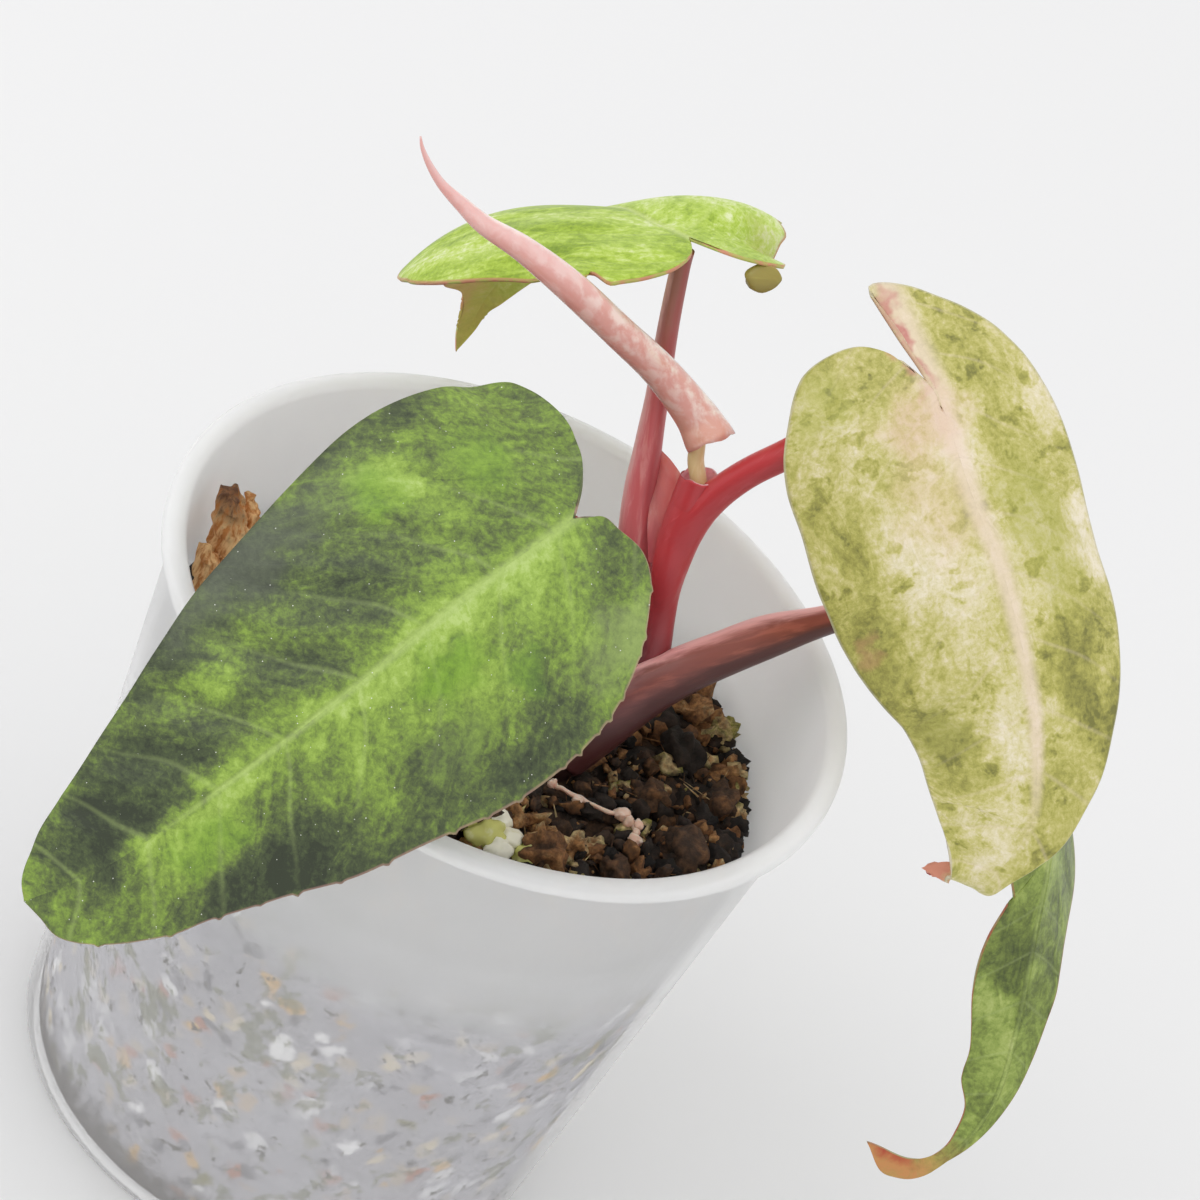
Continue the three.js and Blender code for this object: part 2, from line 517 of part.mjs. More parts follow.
// The pot: a thin tapered cup with a flat lip and drain holes
const potProfile = [
  [0, 0],
  [BASE_RADIUS, 0],
  [BASE_RADIUS + 1.5, 1.5],
  [RIM_RADIUS - 2.3, POT_HEIGHT - 3],
  [RIM_RADIUS - 0.2, POT_HEIGHT - 2.6],
  [RIM_RADIUS, POT_HEIGHT - 2],
  [RIM_RADIUS, POT_HEIGHT - 0.4],
  [RIM_RADIUS - 0.4, POT_HEIGHT],
  [RIM_RADIUS - 2.5, POT_HEIGHT],
  [INNER_TOP, POT_HEIGHT - 1],
  [INNER_BASE, 2],
  [INNER_BASE - 0.8, 1.2],
  [0, 1.2],
];
const cup = new THREE.LatheGeometry(
  potProfile.map((p) => new THREE.Vector2(p[0], p[1])),
  POT_SIDES,
);
cup.rotateX(Math.PI / 2);
const drains = [];
for (let i = 0; i < DRAIN_HOLES; i++) {
  const turn = (i * 2 * Math.PI) / DRAIN_HOLES;
  const drain = new THREE.CylinderGeometry(DRAIN_RADIUS, DRAIN_RADIUS, 6, 16);
  drain.rotateX(Math.PI / 2);
  drain.translate(DRAIN_CIRCLE * Math.cos(turn), DRAIN_CIRCLE * Math.sin(turn), 0);
  drains.push(solidFrom(drain));
}
const pot = without(solidFrom(cup), drains);

// Materials and nodes
const plant = new THREE.Group();
plant.name = "potted_variegated_philodendron";

function place(name, solid, color, roughness, level = PLANT_LEVEL) {
  const material = new THREE.MeshStandardMaterial({ color, roughness, metalness: 0 });
  material.name = name;
  const mesh = new THREE.Mesh(geometryFrom(solid.translate([0, 0, level])), material);
  mesh.name = name;
  plant.add(mesh);
}

place("pot", pot, 0xdfe3e4, 0.5, 0);
place("growing_mix", mix, 0x3a2c22, 0.95);
place("husk_chunk", husk, 0xb5713f, 0.9);
place("pebbles", pebbles, 0xd3cf9a, 0.8);
place("stem", stem, 0x5e2d2c, 0.5);
place("petiole_1", petiole1, 0x9c3a40, 0.45);
place("blade_1", bladeSolids[0], 0x4f7d3a, 0.4);
place("petiole_2", petiole2, 0xc03a45, 0.4);
place("blade_2", bladeSolids[1], 0xc2bd7a, 0.45);
place("petiole_3", petiole3, 0xb9505e, 0.45);
place("blade_3", bladeSolids[2], 0x9cbc4c, 0.45);
place("petiole_4", petiole4, 0xa4564c, 0.45);
place("blade_4", bladeSolids[3], 0x5f8a48, 0.45);
place("new_leaf_stalk", stalk, 0xdcc080, 0.5);
place("new_leaf_sheath", hood, 0xdfa59a, 0.4);
place("aerial_root", root, 0xd9a899, 0.7);

export default plant;
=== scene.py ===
# %% [markdown]
# # A young variegated philodendron in a frosted nursery pot
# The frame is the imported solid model. Each leaf, stalk and heap of mix is made again here as a
# finer piece that keeps the form of its solid. Lengths are written in millimetres.

# %% The frame
import math
import random

import bmesh
import bpy
import numpy as np
from mathutils import Matrix, Vector, noise


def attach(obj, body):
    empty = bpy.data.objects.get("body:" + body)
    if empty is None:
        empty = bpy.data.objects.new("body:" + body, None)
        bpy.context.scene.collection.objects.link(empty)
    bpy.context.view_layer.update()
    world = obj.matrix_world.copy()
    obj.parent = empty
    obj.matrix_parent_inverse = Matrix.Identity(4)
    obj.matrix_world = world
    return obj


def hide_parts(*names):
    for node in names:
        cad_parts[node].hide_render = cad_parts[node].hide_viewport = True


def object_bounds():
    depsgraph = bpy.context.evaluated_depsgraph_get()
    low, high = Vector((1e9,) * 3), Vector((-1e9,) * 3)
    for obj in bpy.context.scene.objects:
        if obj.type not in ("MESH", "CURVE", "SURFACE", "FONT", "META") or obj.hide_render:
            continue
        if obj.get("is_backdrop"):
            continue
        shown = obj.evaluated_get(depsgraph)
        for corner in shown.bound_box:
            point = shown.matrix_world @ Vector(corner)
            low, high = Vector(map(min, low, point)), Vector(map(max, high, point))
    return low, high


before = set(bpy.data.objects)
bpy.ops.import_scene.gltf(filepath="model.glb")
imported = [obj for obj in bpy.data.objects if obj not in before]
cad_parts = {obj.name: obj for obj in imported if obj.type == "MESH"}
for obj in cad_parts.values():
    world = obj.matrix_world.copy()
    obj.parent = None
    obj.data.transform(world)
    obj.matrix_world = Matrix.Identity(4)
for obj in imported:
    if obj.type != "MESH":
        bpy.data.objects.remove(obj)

# The noise functions start from the clock, unless they are given a number.
NOISE_SEED = 11
noise.seed_set(NOISE_SEED)

solid_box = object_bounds()
print("nodes in the frame:", len(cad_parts))

# %% [markdown]
# ## Measures
# The pot's base lies on z = 0. The plant's own heights start a little above it, so every point of
# the plant goes through one function that lifts it and turns millimetres into metres.

# %% Measures
MM = 0.001
POT_HEIGHT = 90.0
RIM_RADIUS = 47.5
BASE_RADIUS = 36.0
PLANT_LEVEL = 6.0
MIX_LEVEL = 64.5


def placed(points):
    return (np.asarray(points, float) + [0, 0, PLANT_LEVEL]) * MM


# %% [markdown]
# ## The camera
# The picture looks down on the plant at about 37 degrees with the camera rolled by 28 degrees,
# and so the pot seems to lean. The camera stands 582 mm from the middle of the rim.

# %% The camera
ELEVATION = math.radians(36.55)
ROLL = math.radians(28.48)
DISTANCE = 582.0
LOOK_RIGHT = -10.98
LOOK_UP = -2.32

level_right = Vector((1, 0, 0))
level_up = Vector((0, math.sin(ELEVATION), math.cos(ELEVATION)))
back = Vector((0, -math.cos(ELEVATION), math.sin(ELEVATION)))
right = math.cos(ROLL) * level_right + math.sin(ROLL) * level_up
up = -math.sin(ROLL) * level_right + math.cos(ROLL) * level_up
rim_middle = Vector((0, 0, POT_HEIGHT))
stand = rim_middle - LOOK_RIGHT * right - LOOK_UP * up + DISTANCE * back

lens = bpy.data.cameras.new("camera")
lens.sensor_width = 36
lens.lens = 135
camera = bpy.data.objects.new("camera", lens)
bpy.context.scene.collection.objects.link(camera)
turned = Matrix((right, up, back)).transposed().to_4x4()
camera.matrix_world = Matrix.Translation(stand * MM) @ turned
bpy.context.scene.camera = camera
print("camera at", [round(c, 1) for c in stand], "mm")

# %% [markdown]
# ## Curves
# Leaves and stalks follow smooth curves through a few given points. A Catmull-Rom curve
# passes through every one of them, which makes the points easy to choose.


# %% Curves
class Curve:
    def __init__(self, points, steps=200):
        self.points = np.asarray(points, float)
        self.shares = np.linspace(0, 1, steps + 1)
        walk = np.linalg.norm(np.diff(self.at(self.shares), axis=0), axis=1)
        self.walked = np.concatenate([[0], np.cumsum(walk)])
        self.length = self.walked[-1]

    def at(self, share):
        share = np.clip(np.atleast_1d(share), 0, 1) * (len(self.points) - 1)
        first = np.minimum(np.floor(share).astype(int), len(self.points) - 2)
        w = (share - first)[:, None]
        before = 2 * self.points[0] - self.points[1]
        after = 2 * self.points[-1] - self.points[-2]
        line = np.vstack([before, self.points, after])
        a, b, c, d = line[first], line[first + 1], line[first + 2], line[first + 3]
        leave, arrive = (c - a) / 2, (d - b) / 2
        cubic = (2 * b - 2 * c + leave + arrive) * w**3
        square = (-3 * b + 3 * c - 2 * leave - arrive) * w**2
        return cubic + square + leave * w + b

    def share_at(self, distance):
        return np.interp(distance, self.walked, self.shares)

    def ahead(self, share):
        share = np.atleast_1d(share)
        step = self.at(np.clip(share + 1e-4, 0, 1)) - self.at(np.clip(share - 1e-4, 0, 1))
        return step / np.linalg.norm(step, axis=1, keepdims=True)


def tint(code):
    channels = [int(code[i : i + 2], 16) / 255 for i in (0, 2, 4)]
    linear = [c / 12.92 if c <= 0.04045 else ((c + 0.055) / 1.055) ** 2.4 for c in channels]
    return (*linear, 1)


def finish_piece(bm, name, materials, node=None):
    mesh = bpy.data.meshes.new(name)
    bm.to_mesh(mesh)
    bm.free()
    for material in materials:
        mesh.materials.append(material)
    mesh.shade_smooth()
    piece = bpy.data.objects.new(name, mesh)
    bpy.context.scene.collection.objects.link(piece)
    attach(piece, "root")
    if node:
        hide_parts(node)
    print(name, "has", len(mesh.polygons), "faces")
    return piece


# %% [markdown]
# ## Node helpers
# A finish is a tree of shader nodes. These short functions add a node, set its plain values and
# link what feeds it, so that each finish below reads as a list of what it does.


# %% Node helpers
def add(tree, kind, settings=None, **feeds):
    node = tree.nodes.new(kind)
    for key, value in (settings or {}).items():
        setattr(node, key, value)
    for key, value in feeds.items():
        socket = node.inputs[int(key[1:])] if key[0] == "n" and key[1:].isdigit() else None
        socket = socket or node.inputs[key.replace("_", " ")]
        if isinstance(value, bpy.types.NodeSocket):
            tree.links.new(value, socket)
        else:
            socket.default_value = value
    return node


def sum_up(tree, operation, a, b=0.5, c=0.5, clamp=False):
    settings = {"operation": operation, "use_clamp": clamp}
    return add(tree, "ShaderNodeMath", settings, n0=a, n1=b, n2=c).outputs[0]


def blend(tree, share, a, b, kind="MIX"):
    settings = {"data_type": "RGBA", "blend_type": kind}
    return add(tree, "ShaderNodeMix", settings, n0=share, n6=a, n7=b).outputs[2]


def smooth_step(tree, value, low, high):
    settings = {"interpolation_type": "SMOOTHSTEP"}
    feeds = {"Value": value, "From_Min": low, "From_Max": high}
    return add(tree, "ShaderNodeMapRange", settings, **feeds).outputs["Result"]


def speckle(tree, vector, scale, detail=4.0, rough=0.55, bent=0.0):
    feeds = {"Vector": vector, "Scale": scale, "Detail": detail, "Roughness": rough}
    return add(tree, "ShaderNodeTexNoise", None, Distortion=bent, **feeds).outputs["Fac"]


def new_finish(name):
    material = bpy.data.materials.new(name)
    material.use_nodes = True
    shader = material.node_tree.nodes["Principled BSDF"]
    return material, material.node_tree, shader


def new_group(name, inputs, outputs):
    tree = bpy.data.node_groups.new(name, "ShaderNodeTree")
    for title, kind, value in inputs:
        socket = tree.interface.new_socket(title, in_out="INPUT", socket_type=kind)
        socket.default_value = value
    for title, kind in outputs:
        tree.interface.new_socket(title, in_out="OUTPUT", socket_type=kind)
    return tree, tree.nodes.new("NodeGroupInput"), tree.nodes.new("NodeGroupOutput")


COLOUR = "NodeSocketColor"
NUMBER = "NodeSocketFloat"
VECTOR = "NodeSocketVector"

# %% [markdown]
# ## Shapes of the leaves and stalks
# Each leaf lists stations along its midrib: a point, the way the upper face looks, then droop and
# curl of the left and the right half. Its outlines list the margin of each half as distance from
# the midrib and distance along it. Each stalk lists points and a radius.

# %% Shapes of the leaves and stalks
LEAF_1 = {
  "stations": [
    [4, -16, 123, -0.05, -0.55, 0.83, 2, 0.01, 4, 0.01],
    [1, -24, 119.5, -0.05, -0.62, 0.78, 0, 0.012, 2, 0.012],
    [-6, -37.5, 111, -0.05, -0.72, 0.69, -2, 0.016, 0, 0.016],
    [-13.5, -50, 97.5, 0, -0.8, 0.6, -2, 0.018, 2, 0.018],
    [-22, -60, 82, -0.02, -0.86, 0.5, -2, 0.02, 3, 0.02],
    [-28.5, -65, 70.5, -0.1, -0.9, 0.42, -2, 0.02, 3, 0.02],
    [-35, -67, 62, -0.2, -0.92, 0.33, -2, 0.02, 3, 0.02],
  ],
  "left": [
    [2, -3], [4.5, -3.5], [8, -4], [11, -3], [13.5, -1], [17.5, 3], [20.5, 7.5], [22.5, 13],
    [23.5, 21], [22.5, 30], [19.5, 42], [17.5, 49.5], [14.5, 57.5], [12, 64], [11, 69],
    [8.5, 75], [5.5, 80], [2.5, 81.5],
  ],
  "right": [
    [4, -6], [7.5, -8.5], [11.5, -10], [16.5, -10], [20.5, -8], [23.5, -1.5], [25.5, 6.5],
    [26, 14], [25, 22.5], [23.5, 32], [21.5, 42], [18.5, 50.5], [15.5, 58], [12.5, 66],
    [8.5, 76], [5, 80], [2.5, 82],
  ],
  "wave": {"left": [0.35, 6, 0.5], "right": [0.4, 3, 1]},
}

LEAF_2 = {
  "stations": [
    [26.5, 27, 134, -0.2, -0.65, 0.75, 6, 0.03, 3, 0.01],
    [33.5, 20.5, 132, -0.1, -0.7, 0.7, 6, 0.034, 3, 0.012],
    [43.5, 12.5, 126, 0, -0.8, 0.6, 6, 0.04, 2, 0.014],
    [51, 8, 121.5, 0, -0.8, 0.6, 6, 0.044, 2, 0.016],
    [58, 3.5, 115.5, 0, -0.82, 0.58, 6, 0.046, 3, 0.018],
    [64, 0, 109, 0.05, -0.86, 0.5, 6, 0.044, 3, 0.02],
    [69.5, -4.5, 100, 0.08, -0.93, 0.36, 6, 0.04, 2, 0.014],
    [70, -6.5, 94.5, 0.08, -0.97, 0.25, 6, 0.03, 2, 0.01],
    [69, -7.5, 89.5, 0.05, -1, 0.1, 4, 0.02, 2, 0.005],
    [67.5, -7, 86.5, -0.1, -0.5, -0.85, 2, 0.01, 0, 0.005],
    [65, -4.5, 85, -0.25, 0.62, -0.75, 2, 0.01, 0, 0.01],
    [61.5, -3.5, 82.5, -0.15, 0.75, -0.65, 2, 0.01, 0, 0.01],
  ],
  "left": [
    [-0.5, -3.5], [-1, -9], [-2, -14.5], [-2.3, -17.2], [-0.3, -17.2], [3, -15.5], [5.5, -13.5],
    [8.5, -11], [11, -8], [12.5, -5], [14, -1], [15.5, 6.5], [15.5, 16], [14.5, 24], [15, 30],
    [14.5, 35], [13, 40], [10.5, 46], [8.5, 51.5], [6, 56], [4.2, 60.5], [2.4, 65], [2.2, 69],
    [1.4, 73], [1.2, 76],
  ],
  "right": [
    [1.2, -2], [2, -4.5], [3.5, -8], [6.5, -10.5], [10.5, -11], [14.5, -10], [18, -7], [20.5, -2],
    [22, 5.5], [22, 12], [23, 18.5], [23, 26.5], [21.5, 32.5], [19, 38], [16, 46.5], [13.5, 53.5],
    [11.5, 62.5], [8.5, 66], [5, 69], [2.6, 71], [1.8, 73], [1.4, 76],
  ],
  "wave": {"left": [0.5, 3, 0], "right": [0.4, 4, 2]},
  "marks": [21, 22, 23, 24, 25],
}

LEAF_3 = {
  "stations": [
    [5.5, 21, 134.5, -0.3, 0.08, 0.95, 2, 0.014, 3, 0.043],
    [-3.5, 26, 131, -0.33, 0.13, 0.93, 2, 0.014, 3, 0.043],
    [-8, 30, 128, -0.37, 0.23, 0.9, -2, 0.033, -22, 0.043],
    [-13.3, 35.8, 123.9, -0.42, 0.36, 0.83, -3, 0.034, -21, 0.045],
    [-18.2, 44.2, 114.8, -0.48, 0.56, 0.67, -12, 0.041, -6, 0.03],
    [-22.2, 50.7, 103.2, -0.52, 0.78, 0.34, -4, 0.037, 2, 0.024],
    [-25, 52, 92, -0.5, 0.87, -0.04, 6, 0.03, 6, 0.02],
    [-25.5, 50.5, 81.5, -0.46, 0.88, -0.11, 8, 0.02, 8, 0.02],
  ],
  "left": [
    [2, -2.5], [4.5, -4], [8, -4.5], [11.5, -3.5], [14.2, -2], [15.4, -1.2], [15.1, 1.2],
    [16.8, 1.3], [18.5, 3], [21, 8], [24.5, 14], [27.5, 21], [29, 28], [27.5, 34.5], [21.5, 40],
    [13.5, 44.5], [8.5, 49], [5.5, 54], [3, 59.5],
  ],
  "right": [
    [0.5, -3], [1, -6], [2.5, -8.5], [5, -10], [8, -10], [11, -8], [15, -4.5], [17.5, 0],
    [18.5, 5], [20, 11], [19, 18], [17.5, 25], [14, 31], [10, 37], [6.5, 43], [4, 50], [2, 57],
  ],
  "wave": {"left": [0.3, 4, 0], "right": [0.5, 4, 1]},
  "marks": [5, 6, 7, 8],
}

LEAF_4 = {
  "stations": [
    [59, 35, 102.5, 0.31, 0.34, 0.89, 10, 0.02, 16, 0.02],
    [64, 30.5, 100, 0.58, 0.26, 0.77, 10, 0.02, 16, 0.02],
    [69.5, 25.5, 93.5, 0.72, 0.1, 0.69, 10, 0.02, 16, 0.02],
    [74, 22, 85, 0.76, -0.08, 0.64, 10, 0.02, 16, 0.02],
    [78, 18, 76.5, 0.72, -0.23, 0.65, 8, 0.02, 16, 0.02],
    [81.5, 13.5, 67, 0.6, -0.39, 0.7, 8, 0.02, 16, 0.02],
    [85.5, 9, 56, 0.37, -0.61, 0.7, 10, 0.02, 20, 0.02],
    [87.5, 4, 47.5, 0.31, -0.73, 0.61, 10, 0.02, 20, 0.02],
    [86, -1, 41, 0.32, -0.85, 0.42, 6, 0.02, 6, 0.02],
    [81.5, -5.5, 38, 0.14, -0.92, 0.36, 4, 0.02, 4, 0.02],
    [74.5, -7.5, 40.5, -0.13, -0.89, 0.43, 4, 0.02, 4, 0.02],
  ],
  "left": [
    [1.5, -3.5], [4, -6], [7.5, -6.5], [10.5, -4.5], [12, -0.5], [12.5, 6], [12.5, 14],
    [13.5, 22], [13.5, 29], [13, 34], [10, 39.5], [7.5, 46], [6.5, 49.5], [5, 53], [4, 57],
    [3, 61], [2, 65], [1.2, 70.5], [0.8, 74], [1.1, 77.5], [1.4, 80.5], [1.8, 83],
  ],
  "right": [
    [1.5, -3.5], [4, -6], [7.5, -6.5], [10.5, -4.5], [12, -0.5], [12.5, 6], [12, 14], [11, 22],
    [5, 34], [5.5, 36], [7, 40.5], [7.5, 44.5], [7, 49.5], [5.5, 57], [5.5, 61.5], [5, 64],
    [3, 67], [2, 70.5], [1.4, 73], [1.3, 76], [1.6, 80], [0.9, 84],
  ],
  "wave": {"left": [0.3, 5, 0], "right": [0.3, 5, 2]},
}

STEM = [[11, 2, 57, 5], [12, 3, 64, 5], [13, 3.5, 68, 4.8], [15, 5, 74, 4.4], [16.4, 6, 79, 4],
  [17, 6.4, 81.5, 3.3]]
PETIOLE_1 = [[14, 3, 70, 3], [13, -1, 77, 2.6], [11, -5, 88, 2.2], [8, -9.5, 99, 2],
  [5, -15, 108.5, 1.8], [2.8, -19.5, 114.5, 1.7], [1.3, -22.9, 117.5, 1.6]]
PETIOLE_2 = [[18.6, 6.8, 80.5, 2.5], [17.9, 8.6, 84, 2.2], [16.6, 10.4, 87.6, 2],
  [15.3, 12, 91, 2.1], [14.4, 13.1, 94.7, 2.4], [14, 14.2, 98.6, 2.5], [14.5, 15, 102.7, 2.3],
  [15.8, 15.6, 106.7, 2.1], [17.8, 16.2, 110.8, 2], [20.7, 17, 115.2, 2], [24.8, 19.4, 121, 2],
  [29.1, 21.4, 126.3, 2], [32.6, 22.2, 129.7, 1.8]]
PETIOLE_3 = [[18.4, 8, 78, 2.6], [15.6, 11.4, 83.5, 2.4], [12, 14.4, 88, 2.2],
  [8.8, 16.7, 92.6, 2], [6.4, 18.8, 97.7, 1.9], [4.9, 20.2, 102.3, 1.85], [3.6, 21.4, 106.2, 1.7],
  [2.3, 22.5, 110.3, 1.55], [-0.5, 24, 119, 1.4], [-2.6, 26, 126, 1.3], [-3.2, 26.4, 129.1, 1.2]]
PETIOLE_4 = [[13.4, 1.8, 67, 4.2], [16.2, 4, 72.6, 4], [19.1, 7.4, 77.2, 3.6],
  [22.3, 10.4, 81.2, 3.3], [25.9, 13.9, 84.2, 3.1], [30.5, 17.9, 87.9, 2.9], [36.3, 22, 91.8, 2],
  [43.5, 26.9, 96.7, 1.9], [51.1, 30.6, 99.6, 1.8], [57, 31.6, 99.4, 1.8], [62.2, 30.2, 97.9, 1.7]]
STALK = [[14.4, 15.2, 101.5, 1.1], [13.6, 15.6, 103.6, 1.1], [12.2, 16.2, 105.8, 1.1],
  [10.8, 16.7, 107.8, 1.1], [9.9, 17.2, 110.1, 1.05], [8.8, 17.8, 112, 1], [6.8, 18.1, 113.5, 0.9]]
CUP = [[14.6, 12.6, 93, 2.2], [13.5, 13.9, 97.5, 2.5], [12.9, 15.2, 101.7, 2.6],
  [12.3, 16.2, 105.4, 2.35]]
HOOD = [[10.9, 17.6, 111.2, 3.3], [7.6, 18, 113.3, 2.75], [1.4, 16.2, 117.6, 2.35],
  [-5.3, 12.3, 122.4, 2.2], [-13.5, 8.8, 127.3, 2.1], [-20.6, 7.9, 129.4, 1.7],
  [-26.4, 7.8, 129.9, 1.3], [-30.1, 8.2, 130.7, 0.98], [-33.3, 8.1, 131.9, 0.64],
  [-35.7, 8.1, 133.5, 0.45], [-37.5, 8.2, 135.2, 0.27], [-38.4, 8.4, 136.5, 0.12]]
WING = [[-1.3, -2.6], [-0.7, 2.6], [-0.3, 6.5], [0.5, 6.1], [1.7, 4.8], [3, 2.7], [1.8, 0.6],
  [0.5, -1.3], [-0.7, -3.3]]
ROOT = [[15, -3.9, 65.4, 0.9], [18.2, -4.8, 66.4, 0.9], [22, -5, 66.6, 0.8],
  [24.6, -3.9, 66.8, 1], [26, -4.4, 66.6, 0.8], [27.4, -6, 66.2, 1]]
PEBBLES = [[10, -19, 65.6, 2.8], [13.2, -17.4, 65.4, 2.4], [7.2, -17.8, 65.6, 2.5],
  [10.4, -16, 66.2, 2.1], [15.8, -18.8, 65, 2.2], [12.4, -20.8, 65.2, 2.3], [5, -19.8, 65.2, 2.2]]

# %% [markdown]
# ## How a leaf is bent
# A blade hangs from its midrib. Each half droops and curls away from it, and rows run from the
# midrib out and forward to the margin, as the side veins do. One class turns a place on the flat
# leaf into a point in space, so the mesh, the veins and the colours all agree.


# %% How a leaf is bent
class Leaf:
    def __init__(self, form):
        stations = np.array(form["stations"], float)
        self.spine = Curve(stations[:, :3])
        self.facing = Curve(stations[:, 3:6])
        self.bends = Curve(stations[:, 6:])
        self.collar = np.interp(1 / (len(stations) - 1), self.spine.shares, self.spine.walked)
        self.length = self.spine.length - self.collar
        tip = [0, self.length]
        self.margins = [Curve([[0, 0], *form[side], tip]) for side in ("left", "right")]
        self.waves = [form["wave"][side] for side in ("left", "right")]

    def bent(self, side, out, along):
        full = along + self.collar
        held = np.clip(full, 0, self.spine.length)
        share = self.spine.share_at(held)
        ahead = self.spine.ahead(share)
        point = self.spine.at(share) + ahead * (full - held)[:, None]
        above = self.facing.at(share)
        above -= ahead * np.sum(above * ahead, 1, keepdims=True)
        above /= np.linalg.norm(above, axis=1, keepdims=True)
        aside = np.cross(ahead, above)
        bend = self.bends.at(share)[:, 2 * side : 2 * side + 2]
        droop = np.radians(bend[:, 0])
        curl = np.maximum(bend[:, 1], 1e-4)
        level = (np.sin(droop + curl * out) - np.sin(droop)) / curl
        drop = (np.cos(droop + curl * out) - np.cos(droop)) / curl
        return point + aside * ((2 * side - 1) * level)[:, None] + above * drop[:, None]

    def points(self, side, u, v):
        edge = self.margins[side]
        margin = edge.at(edge.share_at(v * edge.length))
        root = self.length * v**1.7
        point = self.bent(side, margin[:, 0] * u, root + (margin[:, 1] - root) * u)
        height, count, shift = self.waves[side]
        ripple = height * u**3 * np.sqrt(np.clip(np.sin(np.pi * v), 0, 1))
        point[:, 2] += ripple * np.sin(count * 2 * np.pi * v + shift)
        return point


leaves = [Leaf(form) for form in (LEAF_1, LEAF_2, LEAF_3, LEAF_4)]
print("blade lengths in mm:", [round(leaf.length, 1) for leaf in leaves])

# %% [markdown]
# ## Leaf finishes
# Each blade has its own colours, but all are mottled in the same way: soft patches drawn out along
# the side veins, with smaller flecks and grains in them. One node group turns the leaf's own maps
# into a tone from dark to light. The map called flat holds millimetres on the flat leaf, and the
# map called fan says how close a place is to the margin.

# %% A soft patch
soft_patch, took, gives = new_group(
    "soft_patch",
    [("Place", VECTOR, (0, 0, 0)), ("Centre", VECTOR, (0, 0, 0)), ("Size", VECTOR, (5, 5, 1)),
     ("Strength", NUMBER, 0.2)],
    [("Value", NUMBER)],
)
T = soft_patch
offset = add(T, "ShaderNodeVectorMath", {"operation": "SUBTRACT"}, n0=took.outputs[0], n1=took.outputs[1])
scaled = add(T, "ShaderNodeVectorMath", {"operation": "DIVIDE"}, n0=offset.outputs[0], n1=took.outputs[2])
reach = add(T, "ShaderNodeVectorMath", {"operation": "LENGTH"}, n0=scaled.outputs[0]).outputs["Value"]
inside = smooth_step(T, reach, 1.25, 0.3)
T.links.new(sum_up(T, "MULTIPLY", inside, took.outputs[3]), gives.inputs[0])

# %% The mottling of a leaf
mottle, took, gives = new_group(
    "leaf_mottling",
    [
        ("Bias", NUMBER, 0.0),
        ("Patch size", NUMBER, 12.0),
        ("Patches", NUMBER, 1.5),
        ("Flecks", NUMBER, 0.9),
        ("Grains", NUMBER, 0.6),
        ("Rib width", NUMBER, 1.0),
        ("Rib length", NUMBER, 80.0),
        ("Vein spacing", NUMBER, 9.0),
        ("Pleats", NUMBER, 0.3),
        ("Across", NUMBER, 0.5),
        ("Along", NUMBER, 1.0),
        ("Bow", NUMBER, 1.0),
        ("Spots", NUMBER, 0.0),
        ("Seed", NUMBER, 0.0),
    ],
    [("Tone", NUMBER), ("Rib", NUMBER), ("Vein", NUMBER), ("Height", NUMBER), ("Edge", NUMBER),
     ("Grain", NUMBER), ("Place", VECTOR)],
)
T = mottle
flat = add(T, "ShaderNodeSeparateXYZ", None, Vector=add(T, "ShaderNodeUVMap", {"uv_map": "flat"}).outputs[0])
fan = add(T, "ShaderNodeSeparateXYZ", None, Vector=add(T, "ShaderNodeUVMap", {"uv_map": "fan"}).outputs[0])
x = sum_up(T, "MULTIPLY_ADD", flat.outputs[0], 100.0, -50.0)
y = sum_up(T, "MULTIPLY_ADD", flat.outputs[1], 120.0, -30.0)
out = sum_up(T, "ABSOLUTE", x)
bow = sum_up(T, "MULTIPLY", sum_up(T, "MULTIPLY_ADD", out, -0.012, -0.55), out)
line = sum_up(T, "ADD", y, bow)
half = sum_up(T, "MULTIPLY_ADD", sum_up(T, "SIGN", x), 30.0, took.outputs["Seed"])
bowed = sum_up(T, "MULTIPLY_ADD", bow, took.outputs["Bow"], y)
drawn = add(T, "ShaderNodeCombineXYZ", None, X=sum_up(T, "MULTIPLY", out, took.outputs["Across"]),
            Y=sum_up(T, "MULTIPLY", bowed, took.outputs["Along"]), Z=half).outputs[0]
level = add(T, "ShaderNodeCombineXYZ", None, X=x, Y=y, Z=took.outputs["Seed"]).outputs[0]
coarse_scale = sum_up(T, "DIVIDE", 1.0, took.outputs["Patch size"])
patches = speckle(T, drawn, coarse_scale, 3.0, 0.55, 0.6)
flecks = speckle(T, drawn, sum_up(T, "MULTIPLY", coarse_scale, 3.0), 5.0, 0.66, 1.4)
grains = speckle(T, level, 1.1, 4.0, 0.75, 0.3)
spots = smooth_step(T, speckle(T, level, 0.3, 3.0, 0.6, 0.25), 0.56, 0.66)
tone = sum_up(T, "ADD", 0.5, took.outputs["Bias"])
for value, amount in ((patches, "Patches"), (flecks, "Flecks"), (grains, "Grains")):
    tone = sum_up(T, "MULTIPLY_ADD", sum_up(T, "SUBTRACT", value, 0.5), took.outputs[amount], tone)
tone = sum_up(T, "SUBTRACT", tone, sum_up(T, "MULTIPLY", spots, took.outputs["Spots"]))
to_tip = sum_up(T, "DIVIDE", y, took.outputs["Rib length"])
rib_width = sum_up(T, "MULTIPLY", took.outputs["Rib width"], sum_up(T, "MULTIPLY_ADD", to_tip, -0.7, 1.0))
rib = smooth_step(T, sum_up(T, "DIVIDE", out, rib_width), 1.0, 0.1)
rib = sum_up(T, "MULTIPLY", rib, smooth_step(T, to_tip, 1.0, 0.7))
